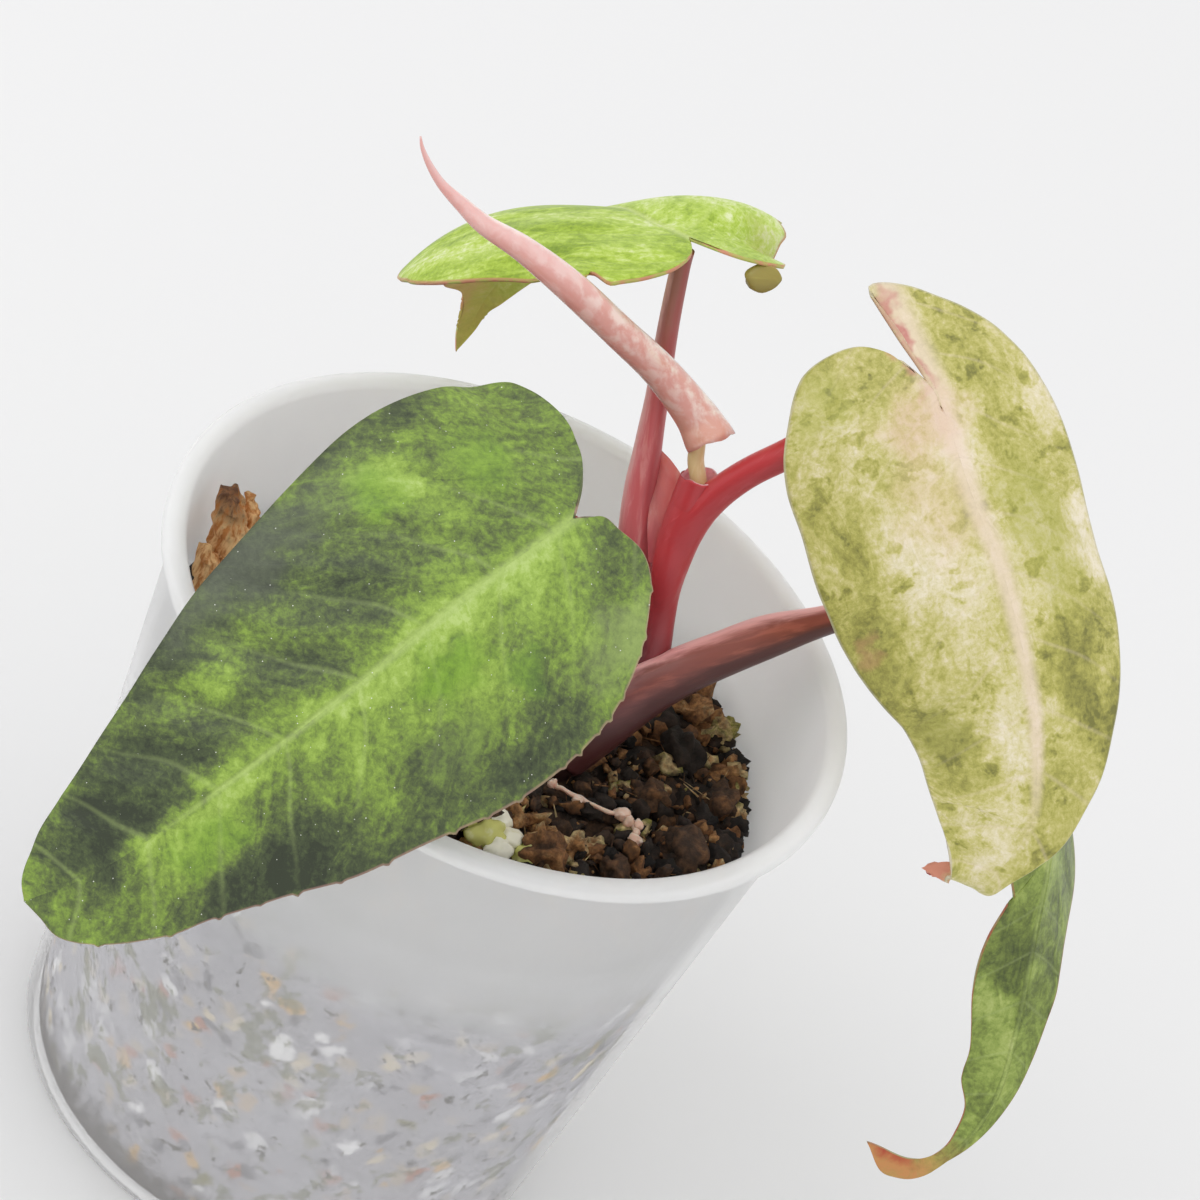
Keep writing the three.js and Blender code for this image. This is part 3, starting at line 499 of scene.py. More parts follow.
turns = sum_up(T, "DIVIDE", line, took.outputs["Vein spacing"])
turns = sum_up(T, "MULTIPLY_ADD", speckle(T, level, 0.05, 1.0), 0.7, turns)
to_vein = sum_up(T, "ABSOLUTE", sum_up(T, "SUBTRACT", sum_up(T, "FRACT", turns), 0.5))
vein = sum_up(T, "MULTIPLY", smooth_step(T, to_vein, 0.06, 0.0), smooth_step(T, out, 18.0, 2.0))
edge = sum_up(T, "ABSOLUTE", sum_up(T, "MULTIPLY_ADD", fan.outputs[0], 2.0, -1.0))
wave = sum_up(T, "COSINE", sum_up(T, "MULTIPLY", turns, 2 * math.pi))
swell = sum_up(T, "MULTIPLY", smooth_step(T, out, 1.0, 7.0), smooth_step(T, edge, 1.0, 0.75))
height = sum_up(T, "MULTIPLY", sum_up(T, "MULTIPLY", wave, swell), took.outputs["Pleats"])
height = sum_up(T, "MULTIPLY_ADD", rib, -0.3, height)
height = sum_up(T, "MULTIPLY_ADD", vein, -0.05, height)
height = sum_up(T, "MULTIPLY_ADD", grains, 0.1, height)
height = sum_up(T, "MULTIPLY_ADD", flecks, 0.25, height)
for title, value in (("Tone", tone), ("Rib", rib), ("Vein", vein), ("Height", height),
                     ("Edge", edge), ("Grain", grains), ("Place", level)):
    T.links.new(value, gives.inputs[title])
print("leaf mottling has", len(T.nodes), "nodes")

# %% [markdown]
# A colour ramp turns the tone into the leaf's colours. Soft patches, listed one by one, make the
# leaf lighter or darker where the real one is, and stains lay another colour over a place. Fine dust
# lies on the upper face, and the thin margin is pinkish.


# %% Upper face, underside and margin
def patched(tree, place, patches):
    total = 0.0
    for px, py, rx, ry, strength in patches:
        spot = add(tree, "ShaderNodeGroup", {"node_tree": soft_patch}, Place=place)
        spot.inputs["Centre"].default_value = (px, py, 0)
        spot.inputs["Size"].default_value = (rx, ry, 1e6)
        spot.inputs["Strength"].default_value = strength
        total = sum_up(tree, "ADD", total, spot.outputs[0])
    return total


def leaf_face(name, ramp, values, patches, stains, vein, rib_share, margin, margin_share, pale=None, dust=0.0,
              plain_right=0.0):
    material, tree, shader = new_finish(name)
    maps = add(tree, "ShaderNodeGroup", {"node_tree": mottle})
    torn = add(tree, "ShaderNodeTexNoise", None, Vector=maps.outputs["Place"], Scale=0.22, Detail=3.0)
    pushed = add(tree, "ShaderNodeVectorMath", {"operation": "MULTIPLY_ADD"},
                 n0=torn.outputs["Color"], n1=(9, 9, 0), n2=maps.outputs["Place"]).outputs[0]
    place = add(tree, "ShaderNodeVectorMath", {"operation": "SUBTRACT"}, n0=pushed, n1=(4.5, 4.5, 0)).outputs[0]
    group = add(tree, "ShaderNodeGroup", {"node_tree": mottle})
    for title, value in values.items():
        group.inputs[title].default_value = value
    if patches:
        tree.links.new(patched(tree, place, patches), group.inputs["Bias"])
    steps = add(tree, "ShaderNodeValToRGB", None, Fac=group.outputs["Tone"]).color_ramp
    steps.elements[0].position, steps.elements[1].position = ramp[0][0], ramp[-1][0]
    steps.elements[0].color, steps.elements[1].color = tint(ramp[0][1]), tint(ramp[-1][1])
    for at, colour in ramp[1:-1]:
        steps.elements.new(at).color = tint(colour)
    colour = [node for node in tree.nodes if node.type == "VALTORGB"][0].outputs[0]
    veins = sum_up(tree, "MAXIMUM", sum_up(tree, "MULTIPLY", group.outputs["Rib"], rib_share),
                   sum_up(tree, "MULTIPLY", group.outputs["Vein"], 0.22))
    colour = blend(tree, veins, colour, tint(vein))
    for stain, *shape in stains:
        share = sum_up(tree, "MULTIPLY", patched(tree, place, [shape]),
                       sum_up(tree, "MULTIPLY_ADD", group.outputs["Grain"], 0.9, 0.55), clamp=True)
        colour = blend(tree, share, colour, tint(stain))
    if pale:
        colour = blend(tree, 0.35, colour, tint(pale))
    near_edge = sum_up(tree, "MULTIPLY", smooth_step(tree, group.outputs["Edge"], 0.982, 0.995), margin_share)
    across = add(tree, "ShaderNodeSeparateXYZ", None, Vector=maps.outputs["Place"]).outputs[0]
    pinkish = sum_up(tree, "MULTIPLY_ADD", smooth_step(tree, across, -1.0, 1.5), -plain_right, 1.0)
    near_edge = sum_up(tree, "MULTIPLY", near_edge, pinkish)
    colour = blend(tree, near_edge, colour, tint(margin))
    if dust:
        grit = add(tree, "ShaderNodeTexVoronoi", None, Vector=maps.outputs["Place"], Scale=1.3, Randomness=1.0)
        chance = add(tree, "ShaderNodeSeparateColor", None, Color=grit.outputs["Color"]).outputs[0]
        size = sum_up(tree, "MULTIPLY", smooth_step(tree, chance, 0.6, 1.0), 0.1)
        speck = sum_up(tree, "LESS_THAN", grit.outputs["Distance"], size)
        colour = blend(tree, sum_up(tree, "MULTIPLY", speck, dust), colour, tint("eef0e6"))
    tree.links.new(colour, shader.inputs["Base Color"])
    relief = add(tree, "ShaderNodeBump", None, Height=group.outputs["Height"], Strength=0.9, Distance=0.001)
    tree.links.new(relief.outputs[0], shader.inputs["Normal"])
    return material, shader


def leaf_finishes(name, ramp, values, patches, stains, vein, rib_share, margin, margin_share, below, roughness,
                  dust=0.0, plain_right=0.0):
    top, shader = leaf_face(name, ramp, values, patches, stains, vein, rib_share, margin, margin_share, None, dust,
                            plain_right)
    shader.inputs["Roughness"].default_value = roughness
    shader.inputs["Specular IOR Level"].default_value = 0.35
    shader.inputs["Coat Weight"].default_value = 0.06
    shader.inputs["Coat Roughness"].default_value = 0.3
    under, shader = leaf_face(name + "_underside", ramp, values, patches[:4], stains, vein, 0.5, margin,
                              margin_share, below)
    shader.inputs["Roughness"].default_value = 0.55
    rim, tree, shader = new_finish(name + "_margin")
    spot = add(tree, "ShaderNodeTexCoord").outputs["Object"]
    patchy = smooth_step(tree, speckle(tree, spot, 300.0, 3.0), 0.4, 0.6)
    across = add(tree, "ShaderNodeSeparateXYZ", None, Vector=add(tree, "ShaderNodeUVMap", {"uv_map": "flat"}).outputs[0])
    bare = sum_up(tree, "MULTIPLY", smooth_step(tree, across.outputs[0], 0.495, 0.52), plain_right)
    share = sum_up(tree, "MAXIMUM", patchy, bare)
    tree.links.new(blend(tree, share, tint(margin), tint(below)), shader.inputs["Base Color"])
    shader.inputs["Roughness"].default_value = 0.5
    return [top, under, rim]


# %% The dark green leaf
dark_green = leaf_finishes(
    "blade_dark_green",
    [(0.04, "333b29"), (0.24, "4a5636"), (0.4, "62733c"), (0.54, "79923f"), (0.68, "8eab46"), (0.82, "a0bd54"),
     (1.0, "b6ce76")],
    {"Patch size": 12.0, "Patches": 0.8, "Flecks": 0.72, "Grains": 0.85, "Rib width": 1.3,
     "Rib length": 70.0, "Vein spacing": 10.5, "Pleats": 0.45, "Across": 0.75, "Seed": 3.0},
    [(-0.8, 34, 3.0, 42, 0.26), (-6, 34, 7, 12, 0.08), (12, 8, 12, 14, -0.07), (-6, 8, 9, 8, 0.14), (-4, 57, 4, 12, 0.08),
     (20, 42, 7, 18, -0.3), (14, 63, 5, 12, -0.2), (24, 15, 3.5, 14, -0.2),
     (-21, 22, 4, 10, -0.2), (-16, 52, 5, 12, -0.18), (1, -6, 14, 3, -0.08), (6, 60, 6, 14, -0.34), (3.5, 73, 7, 9, -0.3), (9, 27, 6, 7, -0.24),
     (14, 33, 6, 8, -0.1), (10, 47, 4, 5, 0.2), (17, 16, 8, 5, 0.18), (10, 13, 6, 4, 0.14),
     (17, 3, 9, 5, 0.1), (22, -2, 6, 8, 0.08), (-12, 55, 5, 14, -0.3), (-19, 38, 5, 14, -0.22),
     (-15, 14, 4, 5, -0.14), (-12, 27, 4, 4, -0.06), (-18, 20, 4, 8, -0.12), (-15, 4, 6, 6, 0.14),
     (7, 40, 4, 8, -0.16), (3, 20, 4, 8, 0.05), (-11, 42, 4, 5, -0.1), (-9, 20, 3, 4, 0.1)],
    # The grey stain 646a5a over the outer right half is partly the leaf's dark grey and partly painted sheen.
    [("6f9f1c", 17, 17, 5, 3.5, 0.35), ("6f9f1c", -6, 24, 4, 5, 0.5), ("66922a", -12, 17, 4, 3, 0.4),
     ("72a31c", -4, 59, 3, 5, 0.3), ("76a02c", 12, 4, 6, 4, 0.35), ("8d9a68", -16, 4, 5, 8, 0.5),
     ("646a5a", 21, 36, 6, 20, 0.55), ("535b46", -13, 29, 4, 6, 0.35), ("8f5a48", 0, 86, 7, 3.0, 0.8)],
    "b6cb7c", 0.45, "d3a49a", 0.45, "5d6a40", 0.4, 0.8, 1.0,
)

# %% The cream leaf
cream = leaf_finishes(
    "blade_cream",
    [(0.04, "7a793c"), (0.22, "98954a"), (0.38, "b2ae5a"), (0.52, "c7c077"), (0.68, "dbd1a0"), (0.9, "eee4cc")],
    {"Patch size": 9.0, "Patches": 0.85, "Flecks": 0.68, "Grains": 0.8, "Rib width": 2.8, "Rib length": 64.0,
     "Vein spacing": 8.0, "Pleats": 0.18, "Across": 1.0, "Along": 0.55, "Bow": 0.25, "Spots": 0.24,
     "Seed": 11.0},
    [(3, 5, 8, 9, 0.26), (9, 19, 7, 9, 0.18), (15, 3, 5, 6, 0.14), (-15, 5, 5, 6, 0.22),
     (-14, 23, 4, 5, 0.26), (2, 44, 4, 12, 0.24), (14, -7, 6, 5, 0.02), (-6, 10, 5, 10, -0.1),
     (15, 43, 5, 5, -0.3), (9, 49, 4, 6, -0.28), (-6, 38, 4, 9, -0.2), (-9, 45, 5, 7, -0.3),
     (-3, 52, 4, 5, -0.12), (18, 13, 3, 4, -0.14), (13.5, 20.5, 2, 2, -0.22), (19, 30, 3, 8, -0.14),
     (-12, 33, 4, 6, -0.16), (18, 36, 4, 6, -0.18), (5, 30, 5, 9, 0.14), (-10, -5, 5, 6, 0.02),
     (3, 62, 5, 8, 0.2), (7, 66, 4, 4, -0.1)],
    [("dfb9a2", 3, 3, 6, 6, 0.45), ("e3c6a6", 5, 14, 5, 9, 0.35), ("b08a5e", 18.6, 29.5, 1.6, 2.6, 0.65),
     ("c57a74", 1.2, -9, 1.5, 9, 0.85), ("d4564f", 0, 77.5, 9, 5.5, 1.3), ("a6aa4e", -7, 20, 5, 12, 0.35),
     ("8b8c44", 12, 45, 5, 6, 0.35), ("b3b85a", 15, -4, 6, 7, 0.3)],
    "ecd8c4", 0.75, "e6e2cc", 0.45, "d6c9a2", 0.42,
)

# %% The lime leaf
lime = leaf_finishes(
    "blade_lime",
    [(0.04, "75911c"), (0.28, "90ac28"), (0.46, "a6c23a"), (0.62, "b8d154"), (0.78, "cdde86"), (0.95, "e2eab8")],
    {"Patch size": 8.0, "Patches": 1.25, "Flecks": 1.1, "Grains": 1.0, "Rib width": 1.1, "Rib length": 60.0,
     "Vein spacing": 9.0, "Pleats": 0.25, "Across": 0.8, "Seed": 21.0},
    [(12, 8, 14, 18, 0.2), (-12, 10, 8, 6, -0.14), (-8, 2, 6, 5, 0.05), (-22, 22, 8, 10, 0.12)],
    [("b5843f", 0, 62, 9, 12, 0.65), ("c9825c", -5, 56, 3.5, 9, 0.7), ("a9a352", 15, 0, 5, 5, 0.4)],
    "d3de94", 0.45, "d08f70", 0.75, "b4ba5c", 0.42,
)

# %% The narrow leaf
narrow = leaf_finishes(
    "blade_narrow",
    [(0.04, "3f4a26"), (0.26, "5b6930"), (0.42, "74843c"), (0.58, "8c9f4b"), (0.74, "a4b460"), (1.0, "bfc982")],
    {"Patch size": 9.0, "Patches": 1.3, "Flecks": 1.0, "Grains": 0.7, "Rib width": 0.9, "Rib length": 84.0,
     "Vein spacing": 7.0, "Pleats": 0.2, "Across": 1.0, "Along": 0.5, "Bow": 0.3, "Seed": 31.0},
    [(3, 42, 4, 7, -0.2), (-3, 50, 4, 6, -0.12), (2, 30, 6, 10, 0.15), (2, 60, 4, 8, 0.15)],
    [("c58a52", 0, 86, 6, 14, 1.0), ("b0482f", 2, 86, 2, 8, 0.9)],
    "b0c07c", 0.15, "b5694a", 0.8, "a3a06a", 0.4,
)
print("leaf finishes:", [m[0].name for m in (dark_green, cream, lime, narrow)])

# %% [markdown]
# ## The blades
# A grid is laid over the flat leaf, two halves side by side, and each of its points goes to its
# place on the bent leaf. Small teeth and nicks push the margin out or in. The rows that shrink to
# a point at both ends are merged, and a solidify modifier gives the sheet its thickness and the
# margin a finish of its own.

# %% The blades
BLADE_THICKNESS = 0.5
LEFT, RIGHT = 0, 1


def blade(name, node, leaf, finishes, nicks=(), across=30, along=200, straight=None):
    bm = bmesh.new()
    bmesh.ops.create_grid(bm, x_segments=2 * across, y_segments=along, size=1)
    corners = list(bm.verts)
    grid = np.array([corner.co for corner in corners])
    u = np.abs(grid[:, 0])
    share = (grid[:, 1] + 1) / 2
    v = share + 0.2 * share * (1 - share)
    side = (grid[:, 0] >= 0).astype(int)
    stretch = np.ones(len(u))
    for half, place, width, amount in nicks:
        stretch += (side == half) * amount * np.exp(-(((v - place) / width) ** 2)) * u**6
    margin = [edge.at(edge.share_at(v * edge.length)) for edge in leaf.margins]
    edge = np.where((side == 0)[:, None], margin[0], margin[1])
    root = leaf.length * v**1.7
    flat_x = np.where(side == 0, -1, 1) * edge[:, 0] * u
    flat_y = root + (edge[:, 1] - root) * u
    flat_map = bm.loops.layers.uv.new("flat")
    fan_map = bm.loops.layers.uv.new("fan")
    bm.verts.index_update()
    for face in bm.faces:
        for loop in face.loops:
            i = loop.vert.index
            loop[flat_map].uv = (flat_x[i] / 100 + 0.5, flat_y[i] / 120 + 0.25)
            loop[fan_map].uv = ((grid[i, 0] + 1) / 2, v[i])
    halves = [leaf.points(half, u * stretch, v) for half in (0, 1)]
    if straight:
        half, start, end = straight
        one = np.ones(2)
        first, last = leaf.points(half, one, np.array([start, end]))
        along_it = np.clip((v - start) / (end - start), 0, 1)
        margin_now = leaf.points(half, np.ones(len(v)), v)
        wanted = first + (last - first) * along_it[:, None]
        within = ((v > start) & (v < end)) * np.sin(along_it * math.pi) ** 0.5
        halves[half] += (wanted - margin_now) * (within * u**3)[:, None]
    points = placed(np.where((side == 0)[:, None], halves[0], halves[1]))
    for corner, point in zip(corners, points):
        corner.co = point
    bmesh.ops.remove_doubles(bm, verts=bm.verts, dist=1e-6)
    piece = finish_piece(bm, name, finishes, node)
    wall = piece.modifiers.new("thickness", "SOLIDIFY")
    wall.thickness = BLADE_THICKNESS * MM
    wall.offset = 0
    wall.material_offset = 1
    wall.material_offset_rim = 2
    return piece


teeth = [(LEFT, place, 0.0035, size) for place, size in
         ((0.135, 0.035), (0.188, 0.03), (0.207, 0.02), (0.255, 0.03), (0.282, 0.035), (0.305, 0.02),
          (0.343, 0.035), (0.37, 0.02), (0.43, 0.025), (0.47, 0.02), (0.51, 0.03), (0.585, 0.03),
          (0.64, 0.02), (0.69, 0.04), (0.73, 0.02), (0.775, 0.04), (0.83, 0.03), (0.9, 0.05))]
teeth = [(side, place, width, 0.65 * size) for side, place, width, size in teeth]
blade("leaf_1_blade", "blade_1", leaves[0], dark_green, teeth, along=320)
hooked_tip = [(LEFT, 0.985, 0.015, -0.3), (RIGHT, 0.985, 0.015, -0.3)]
blade("leaf_2_blade", "blade_2", leaves[1], cream, hooked_tip, straight=(RIGHT, 0.7, 0.88))
lobe_and_tip = [(RIGHT, 0.378, 0.01, 0.11), (RIGHT, 0.35, 0.014, 0.07), (RIGHT, 0.42, 0.02, -0.03),
                (LEFT, 0.875, 0.012, 0.45), (LEFT, 0.93, 0.035, -0.3), (RIGHT, 0.93, 0.02, -0.25)]
blade("leaf_3_blade", "blade_3", leaves[2], lime, lobe_and_tip, along=240)
blade("leaf_4_blade", "blade_4", leaves[3], narrow, across=20)

# %% [markdown]
# ## Stalks
# Stem, petioles, root and the new leaf are round bars of changing thickness. A grid is rolled up
# round a curve: its long side follows the curve and its short side goes once around it.


# %% A rolled bar
def bar_points(route, around, along):
    path = Curve([p[:3] for p in route])
    radii = Curve([[p[3]] for p in route])
    share = path.share_at(along * path.length)
    centre = path.at(share)
    ahead = path.ahead(share)
    aim = path.at(1)[0] - path.at(0)[0]
    aim /= np.linalg.norm(aim)
    reference = np.array([1.0, 0, 0] if abs(aim[0]) < 0.8 else [0, 1.0, 0])
    side = reference - ahead * (ahead @ reference)[:, None]
    side /= np.linalg.norm(side, axis=1, keepdims=True)
    other = np.cross(side, ahead)
    radius = radii.at(share)[:, 0]
    turn = around * 2 * np.pi
    centre += side * (radius * np.cos(turn))[:, None]
    return centre + other * (radius * np.sin(turn))[:, None]


def rolled_bar(route, sides=28, steps=90, roughen=0.0):
    bm = bmesh.new()
    bmesh.ops.create_grid(bm, x_segments=sides, y_segments=steps, size=0.5)
    corners = list(bm.verts)
    grid = np.array([corner.co for corner in corners]) + 0.5
    points = placed(bar_points(route, grid[:, 0], grid[:, 1]))
    for corner, point in zip(corners, points):
        corner.co = point
        if roughen:
            corner.co += noise.noise_vector(Vector(point) * 700) * roughen * MM
    bmesh.ops.remove_doubles(bm, verts=bm.verts, dist=2e-6)
    bmesh.ops.holes_fill(bm, edges=[e for e in bm.edges if e.is_boundary], sides=0)
    bmesh.ops.recalc_face_normals(bm, faces=bm.faces)
    return bm


def stalk(name, route, material, slot, node=None, **shape):
    return finish_piece(rolled_bar(route, **shape), name, [material], node)


# %% [markdown]
# A cup or a sheath is open at one end. The end's cap is inset, which leaves a thin lip, and the
# inner face is drawn inwards. Moving the lip's corners up and down a little makes it ragged.


# %% An open end
def open_end(bm, route, end, lip, depth, ragged=0.0, leans=()):
    path = Curve([p[:3] for p in route])
    mouth = Vector(placed(path.at(end))[0])
    inward = Vector(path.ahead(end)[0]) * (1 if end == 0 else -1)
    cap = max(bm.faces, key=lambda face: len(face.verts) - 1e3 * (face.calc_center_median() - mouth).length)
    for corner in cap.verts:
        aside = (corner.co - mouth).normalized()
        reach = ragged * noise.noise(aside * 2.3 + Vector((3, 1, 7)))
        for toward, amount in leans:
            reach += amount * max(0.0, aside.dot(Vector(toward).normalized())) ** 2
        corner.co -= inward * reach * MM
    rim = bmesh.ops.inset_region(bm, faces=[cap], thickness=lip * MM, use_even_offset=True)["faces"]
    for pull in (0.3, 0.7):
        drawn = bmesh.ops.extrude_face_region(bm, geom=[cap])
        bm.faces.remove(cap)
        cap = [g for g in drawn["geom"] if isinstance(g, bmesh.types.BMFace)][0]
        middle = cap.calc_center_median()
        for corner in cap.verts:
            corner.co += (middle - corner.co) * 0.25 * pull + inward * depth * pull * MM
        rim += [face for edge in cap.edges for face in edge.link_faces]
    for face in rim:
        if face.is_valid:
            face.material_index = 1
    bmesh.ops.recalc_face_normals(bm, faces=bm.faces)


# %% [markdown]
# Where two stalks grow out of each other, their bars are joined in one mesh and remeshed with
# small voxels, and the seam is then smoothed away.


# %% Stalks that grew as one
def joined(parts):
    whole = bmesh.new()
    for part in parts:
        scrap = bpy.data.meshes.new("scrap")
        part.to_mesh(scrap)
        part.free()
        whole.from_mesh(scrap)
        bpy.data.meshes.remove(scrap)
    return whole


def grown_together(name, parts, voxel, rounds, material, node):
    rough = bpy.data.meshes.new("rough")
    whole = joined(parts)
    whole.to_mesh(rough)
    whole.free()
    helper = bpy.data.objects.new("helper", rough)
    bpy.context.scene.collection.objects.link(helper)
    remesh = helper.modifiers.new("voxels", "REMESH")
    remesh.mode = "VOXEL"
    remesh.voxel_size = voxel * MM
    ready = bpy.data.meshes.new_from_object(helper.evaluated_get(bpy.context.evaluated_depsgraph_get()))
    bm = bmesh.new()
    bm.from_mesh(ready)
    bpy.data.objects.remove(helper)
    for i in range(rounds):
        bmesh.ops.smooth_vert(bm, verts=bm.verts, factor=0.5, use_axis_x=True, use_axis_y=True, use_axis_z=True)
    return finish_piece(bm, name, [material], node)


# %% [markdown]
# Petioles are satin and faintly streaked along their length. The streak group draws a noise out
# along the stalk's axis, gives the side that faces the light a painted highlight and the side away
# from it painted shade, and changes the colour with the height above the pot's base.

# %% Streaks, with painted highlight and painted shade on the sides of a stalk
streaks_and_side_light, took, gives = new_group(
    "stalk_streaks_and_side_light",
    [
        ("Base", COLOUR, tint("c44746")),
        ("Streak", COLOUR, tint("d5676d")),
        ("Pale side", COLOUR, tint("e6a8a4")),
        ("Dark side", COLOUR, tint("7a3a38")),
        ("Low", COLOUR, tint("5a2e2c")),
        ("High", COLOUR, tint("8f5c4d")),
        ("Pale share", NUMBER, 0.5),
        ("Dark share", NUMBER, 0.5),
        ("Low from", NUMBER, 0.09),
        ("Low to", NUMBER, 0.08),
        ("High from", NUMBER, 0.2),
        ("High to", NUMBER, 0.21),
        ("Amount", NUMBER, 0.5),
        ("Axis", VECTOR, (0, 0, 1)),
        ("Light from", VECTOR, (-0.48, 0.52, 0.71)),
        ("Fineness", NUMBER, 900.0),
    ],
    [("Colour", COLOUR), ("Height", NUMBER)],
)
T = streaks_and_side_light
spot = add(T, "ShaderNodeTexCoord")
up_share = add(T, "ShaderNodeVectorMath", {"operation": "DOT_PRODUCT"}, n0=spot.outputs["Object"], n1=took.outputs["Axis"])
shortened = sum_up(T, "MULTIPLY", up_share.outputs["Value"], -0.86)
pulled = add(T, "ShaderNodeVectorMath", {"operation": "SCALE"}, n0=took.outputs["Axis"], Scale=shortened)
flattened = add(T, "ShaderNodeVectorMath", {"operation": "ADD"}, n0=spot.outputs["Object"], n1=pulled.outputs[0])
lines = speckle(T, flattened.outputs[0], took.outputs["Fineness"], 4.0, 0.6, 0.3)
start = sum_up(T, "SUBTRACT", 1.0, took.outputs["Amount"])
streaked = smooth_step(T, lines, start, sum_up(T, "ADD", start, 0.22))
height = add(T, "ShaderNodeSeparateXYZ", None, Vector=spot.outputs["Object"]).outputs[2]
looks = add(T, "ShaderNodeVectorMath", {"operation": "DOT_PRODUCT"}, n0=spot.outputs["Normal"], n1=took.outputs["Light from"])
facing = sum_up(T, "MULTIPLY_ADD", sum_up(T, "SUBTRACT", lines, 0.5), 0.7, looks.outputs["Value"])
body = blend(T, streaked, took.outputs["Base"], took.outputs["Streak"])
uneven = sum_up(T, "MULTIPLY_ADD", sum_up(T, "SUBTRACT", lines, 0.5), 0.006, height)
body = blend(T, smooth_step(T, uneven, took.outputs["High from"], took.outputs["High to"]), body, took.outputs["High"])
body = blend(T, smooth_step(T, uneven, took.outputs["Low from"], took.outputs["Low to"]), body, took.outputs["Low"])
# Painted highlight on the side that faces 'Light from', painted shade on the side turned away from it.
painted_lit_side = sum_up(T, "MULTIPLY", smooth_step(T, facing, 0.45, 0.9), took.outputs["Pale share"])
painted_shade_side = sum_up(T, "MULTIPLY", smooth_step(T, facing, 0.1, -0.5), took.outputs["Dark share"])
body = blend(T, painted_lit_side, body, took.outputs["Pale side"])
body = blend(T, painted_shade_side, body, took.outputs["Dark side"])
T.links.new(body, gives.inputs["Colour"])
T.links.new(lines, gives.inputs["Height"])


# The colours are Base, Streak, the painted lit side, the painted shade side, Low and High.
def stalk_finish(name, colours, roughness=0.38, soft=0.12, **values):
    material, tree, shader = new_finish(name)
    group = add(tree, "ShaderNodeGroup", {"node_tree": streaks_and_side_light})
    for title, colour in zip(("Base", "Streak", "Pale side", "Dark side", "Low", "High"), colours):
        group.inputs[title].default_value = tint(colour)
    for title, value in values.items():
        group.inputs[title.replace("_", " ")].default_value = value
    tree.links.new(group.outputs["Colour"], shader.inputs["Base Color"])
    relief = add(tree, "ShaderNodeBump", None, Height=group.outputs["Height"], Strength=0.3, Distance=0.0003)
    tree.links.new(relief.outputs[0], shader.inputs["Normal"])
    shader.inputs["Roughness"].default_value = roughness
    shader.inputs["Subsurface Weight"].default_value = soft
    shader.inputs["Subsurface Radius"].default_value = (1.0, 0.4, 0.3)
    shader.inputs["Subsurface Scale"].default_value = 0.0012
    return material


# %% Stem and petioles
stem_finish = stalk_finish("stem_brown", ("6a3c38", "7d5049", "86605a", "40292a", "33221f", "744040"),
                           Low_from=0.082, Low_to=0.07, High_from=0.08, High_to=0.088)
red = stalk_finish("petiole_red", ("c53a40", "d4565c", "dd7a80", "a83a40", "66353a", "bf4f4c"),
                   Amount=0.42, Axis=(0.35, 0.3, 0.89), Low_from=0.1, Low_to=0.086,
                   High_from=0.122, High_to=0.134, Pale_share=0.4, Dark_share=0.45)
pink = stalk_finish("petiole_pink", ("d4686c", "e08e8c", "efb2b0", "a84a50", "a04c50", "935d4e"),
                    Amount=0.5, Axis=(-0.35, 0.3, 0.88), Low_from=0.104, Low_to=0.09,
                    High_from=0.112, High_to=0.132, Pale_share=0.95, Dark_share=0.55,
                    Light_from=(-0.95, -0.1, 0.3))
brown = stalk_finish("petiole_brown", ("904c40", "ab6050", "efb0ae", "4e2827", "64373a", "ae464a"),
                     Amount=0.5, Axis=(0.72, 0.5, 0.47), Low_from=0.094, Low_to=0.078,
                     High_from=0.096, High_to=0.108, Pale_share=0.95, Dark_share=0.9)

stalk("stem_body", STEM[:3] + [[15, 7, 72.6, 4], [16.2, 8.8, 76, 2.6]], stem_finish, "stem", "stem")
stalk("petiole_1_body", PETIOLE_1, red, "petiole_red", "petiole_1")
stalk("petiole_4_body", PETIOLE_4, brown, "petiole_brown", "petiole_4", steps=140)

# %% [markdown]
# The second petiole and its cup grew as one. The cup's thin rim is a short open tube of its own,
# higher at the front and drawn out to a corner at the right. The third petiole carries the thin
# pink wing of its sheath. Their lower ends reach into the stem.

# %% Cup and wing
ACROSS = Vector((0.88, 0.28, 0.38)).normalized()
FACING = ACROSS.cross(Vector((-0.48, 0.52, 0.71))).normalized()
UPWARD = FACING.cross(ACROSS)


def set_flat(place):
    axes = Matrix((ACROSS, UPWARD, FACING)).transposed().to_4x4()
    return Matrix.Translation(Vector(placed([place])[0])) @ axes @ Matrix.Scale(MM, 4)


cup = rolled_bar([[16.5, 12.4, 86.4, 1.2]] + CUP[:3] + [[12.6, 15.8, 103.6, 2.3]], sides=40, steps=50)
set_back = [[x, y + 0.8 * b, z - 0.6 * b, r] for (x, y, z, r), b in zip(PETIOLE_2, (5, 4, 3, 1.5, 0.5))]
arm = rolled_bar([[17.4, 11.5, 71, 1.4], [18.3, 11, 75, 2.4]] + set_back + PETIOLE_2[5:], sides=32, steps=160)
grown_together("petiole_2_body", [arm, cup], 0.24, 9, red, "petiole_2")

cup_inside = stalk_finish("cup_inside", ("e8a2b0", "f0bfc6", "f5d2d4", "cc7480", "bf5864", "eeb2bc"),
                          roughness=0.35, soft=0.3, Low_from=0.108, Low_to=0.105)
CUP_RIM = [[13.2, 14.7, 99.6, 2.2], [12.9, 15.2, 101.7, 2.55], [12.5, 15.9, 104.2, 2.5], [12.3, 16.3, 105.8, 2.45]]
rim = rolled_bar(CUP_RIM, sides=48, steps=40)
open_end(rim, CUP_RIM, 1, 0.3, 1.4, 0.35, [((0, -1, 0.3), 0.3), (ACROSS, 1.1), ((0, 1, 0), 0.9), ((-0.88, -0.28, -0.38), -0.9)])
finish_piece(rim, "petiole_2_rim", [red, cup_inside])

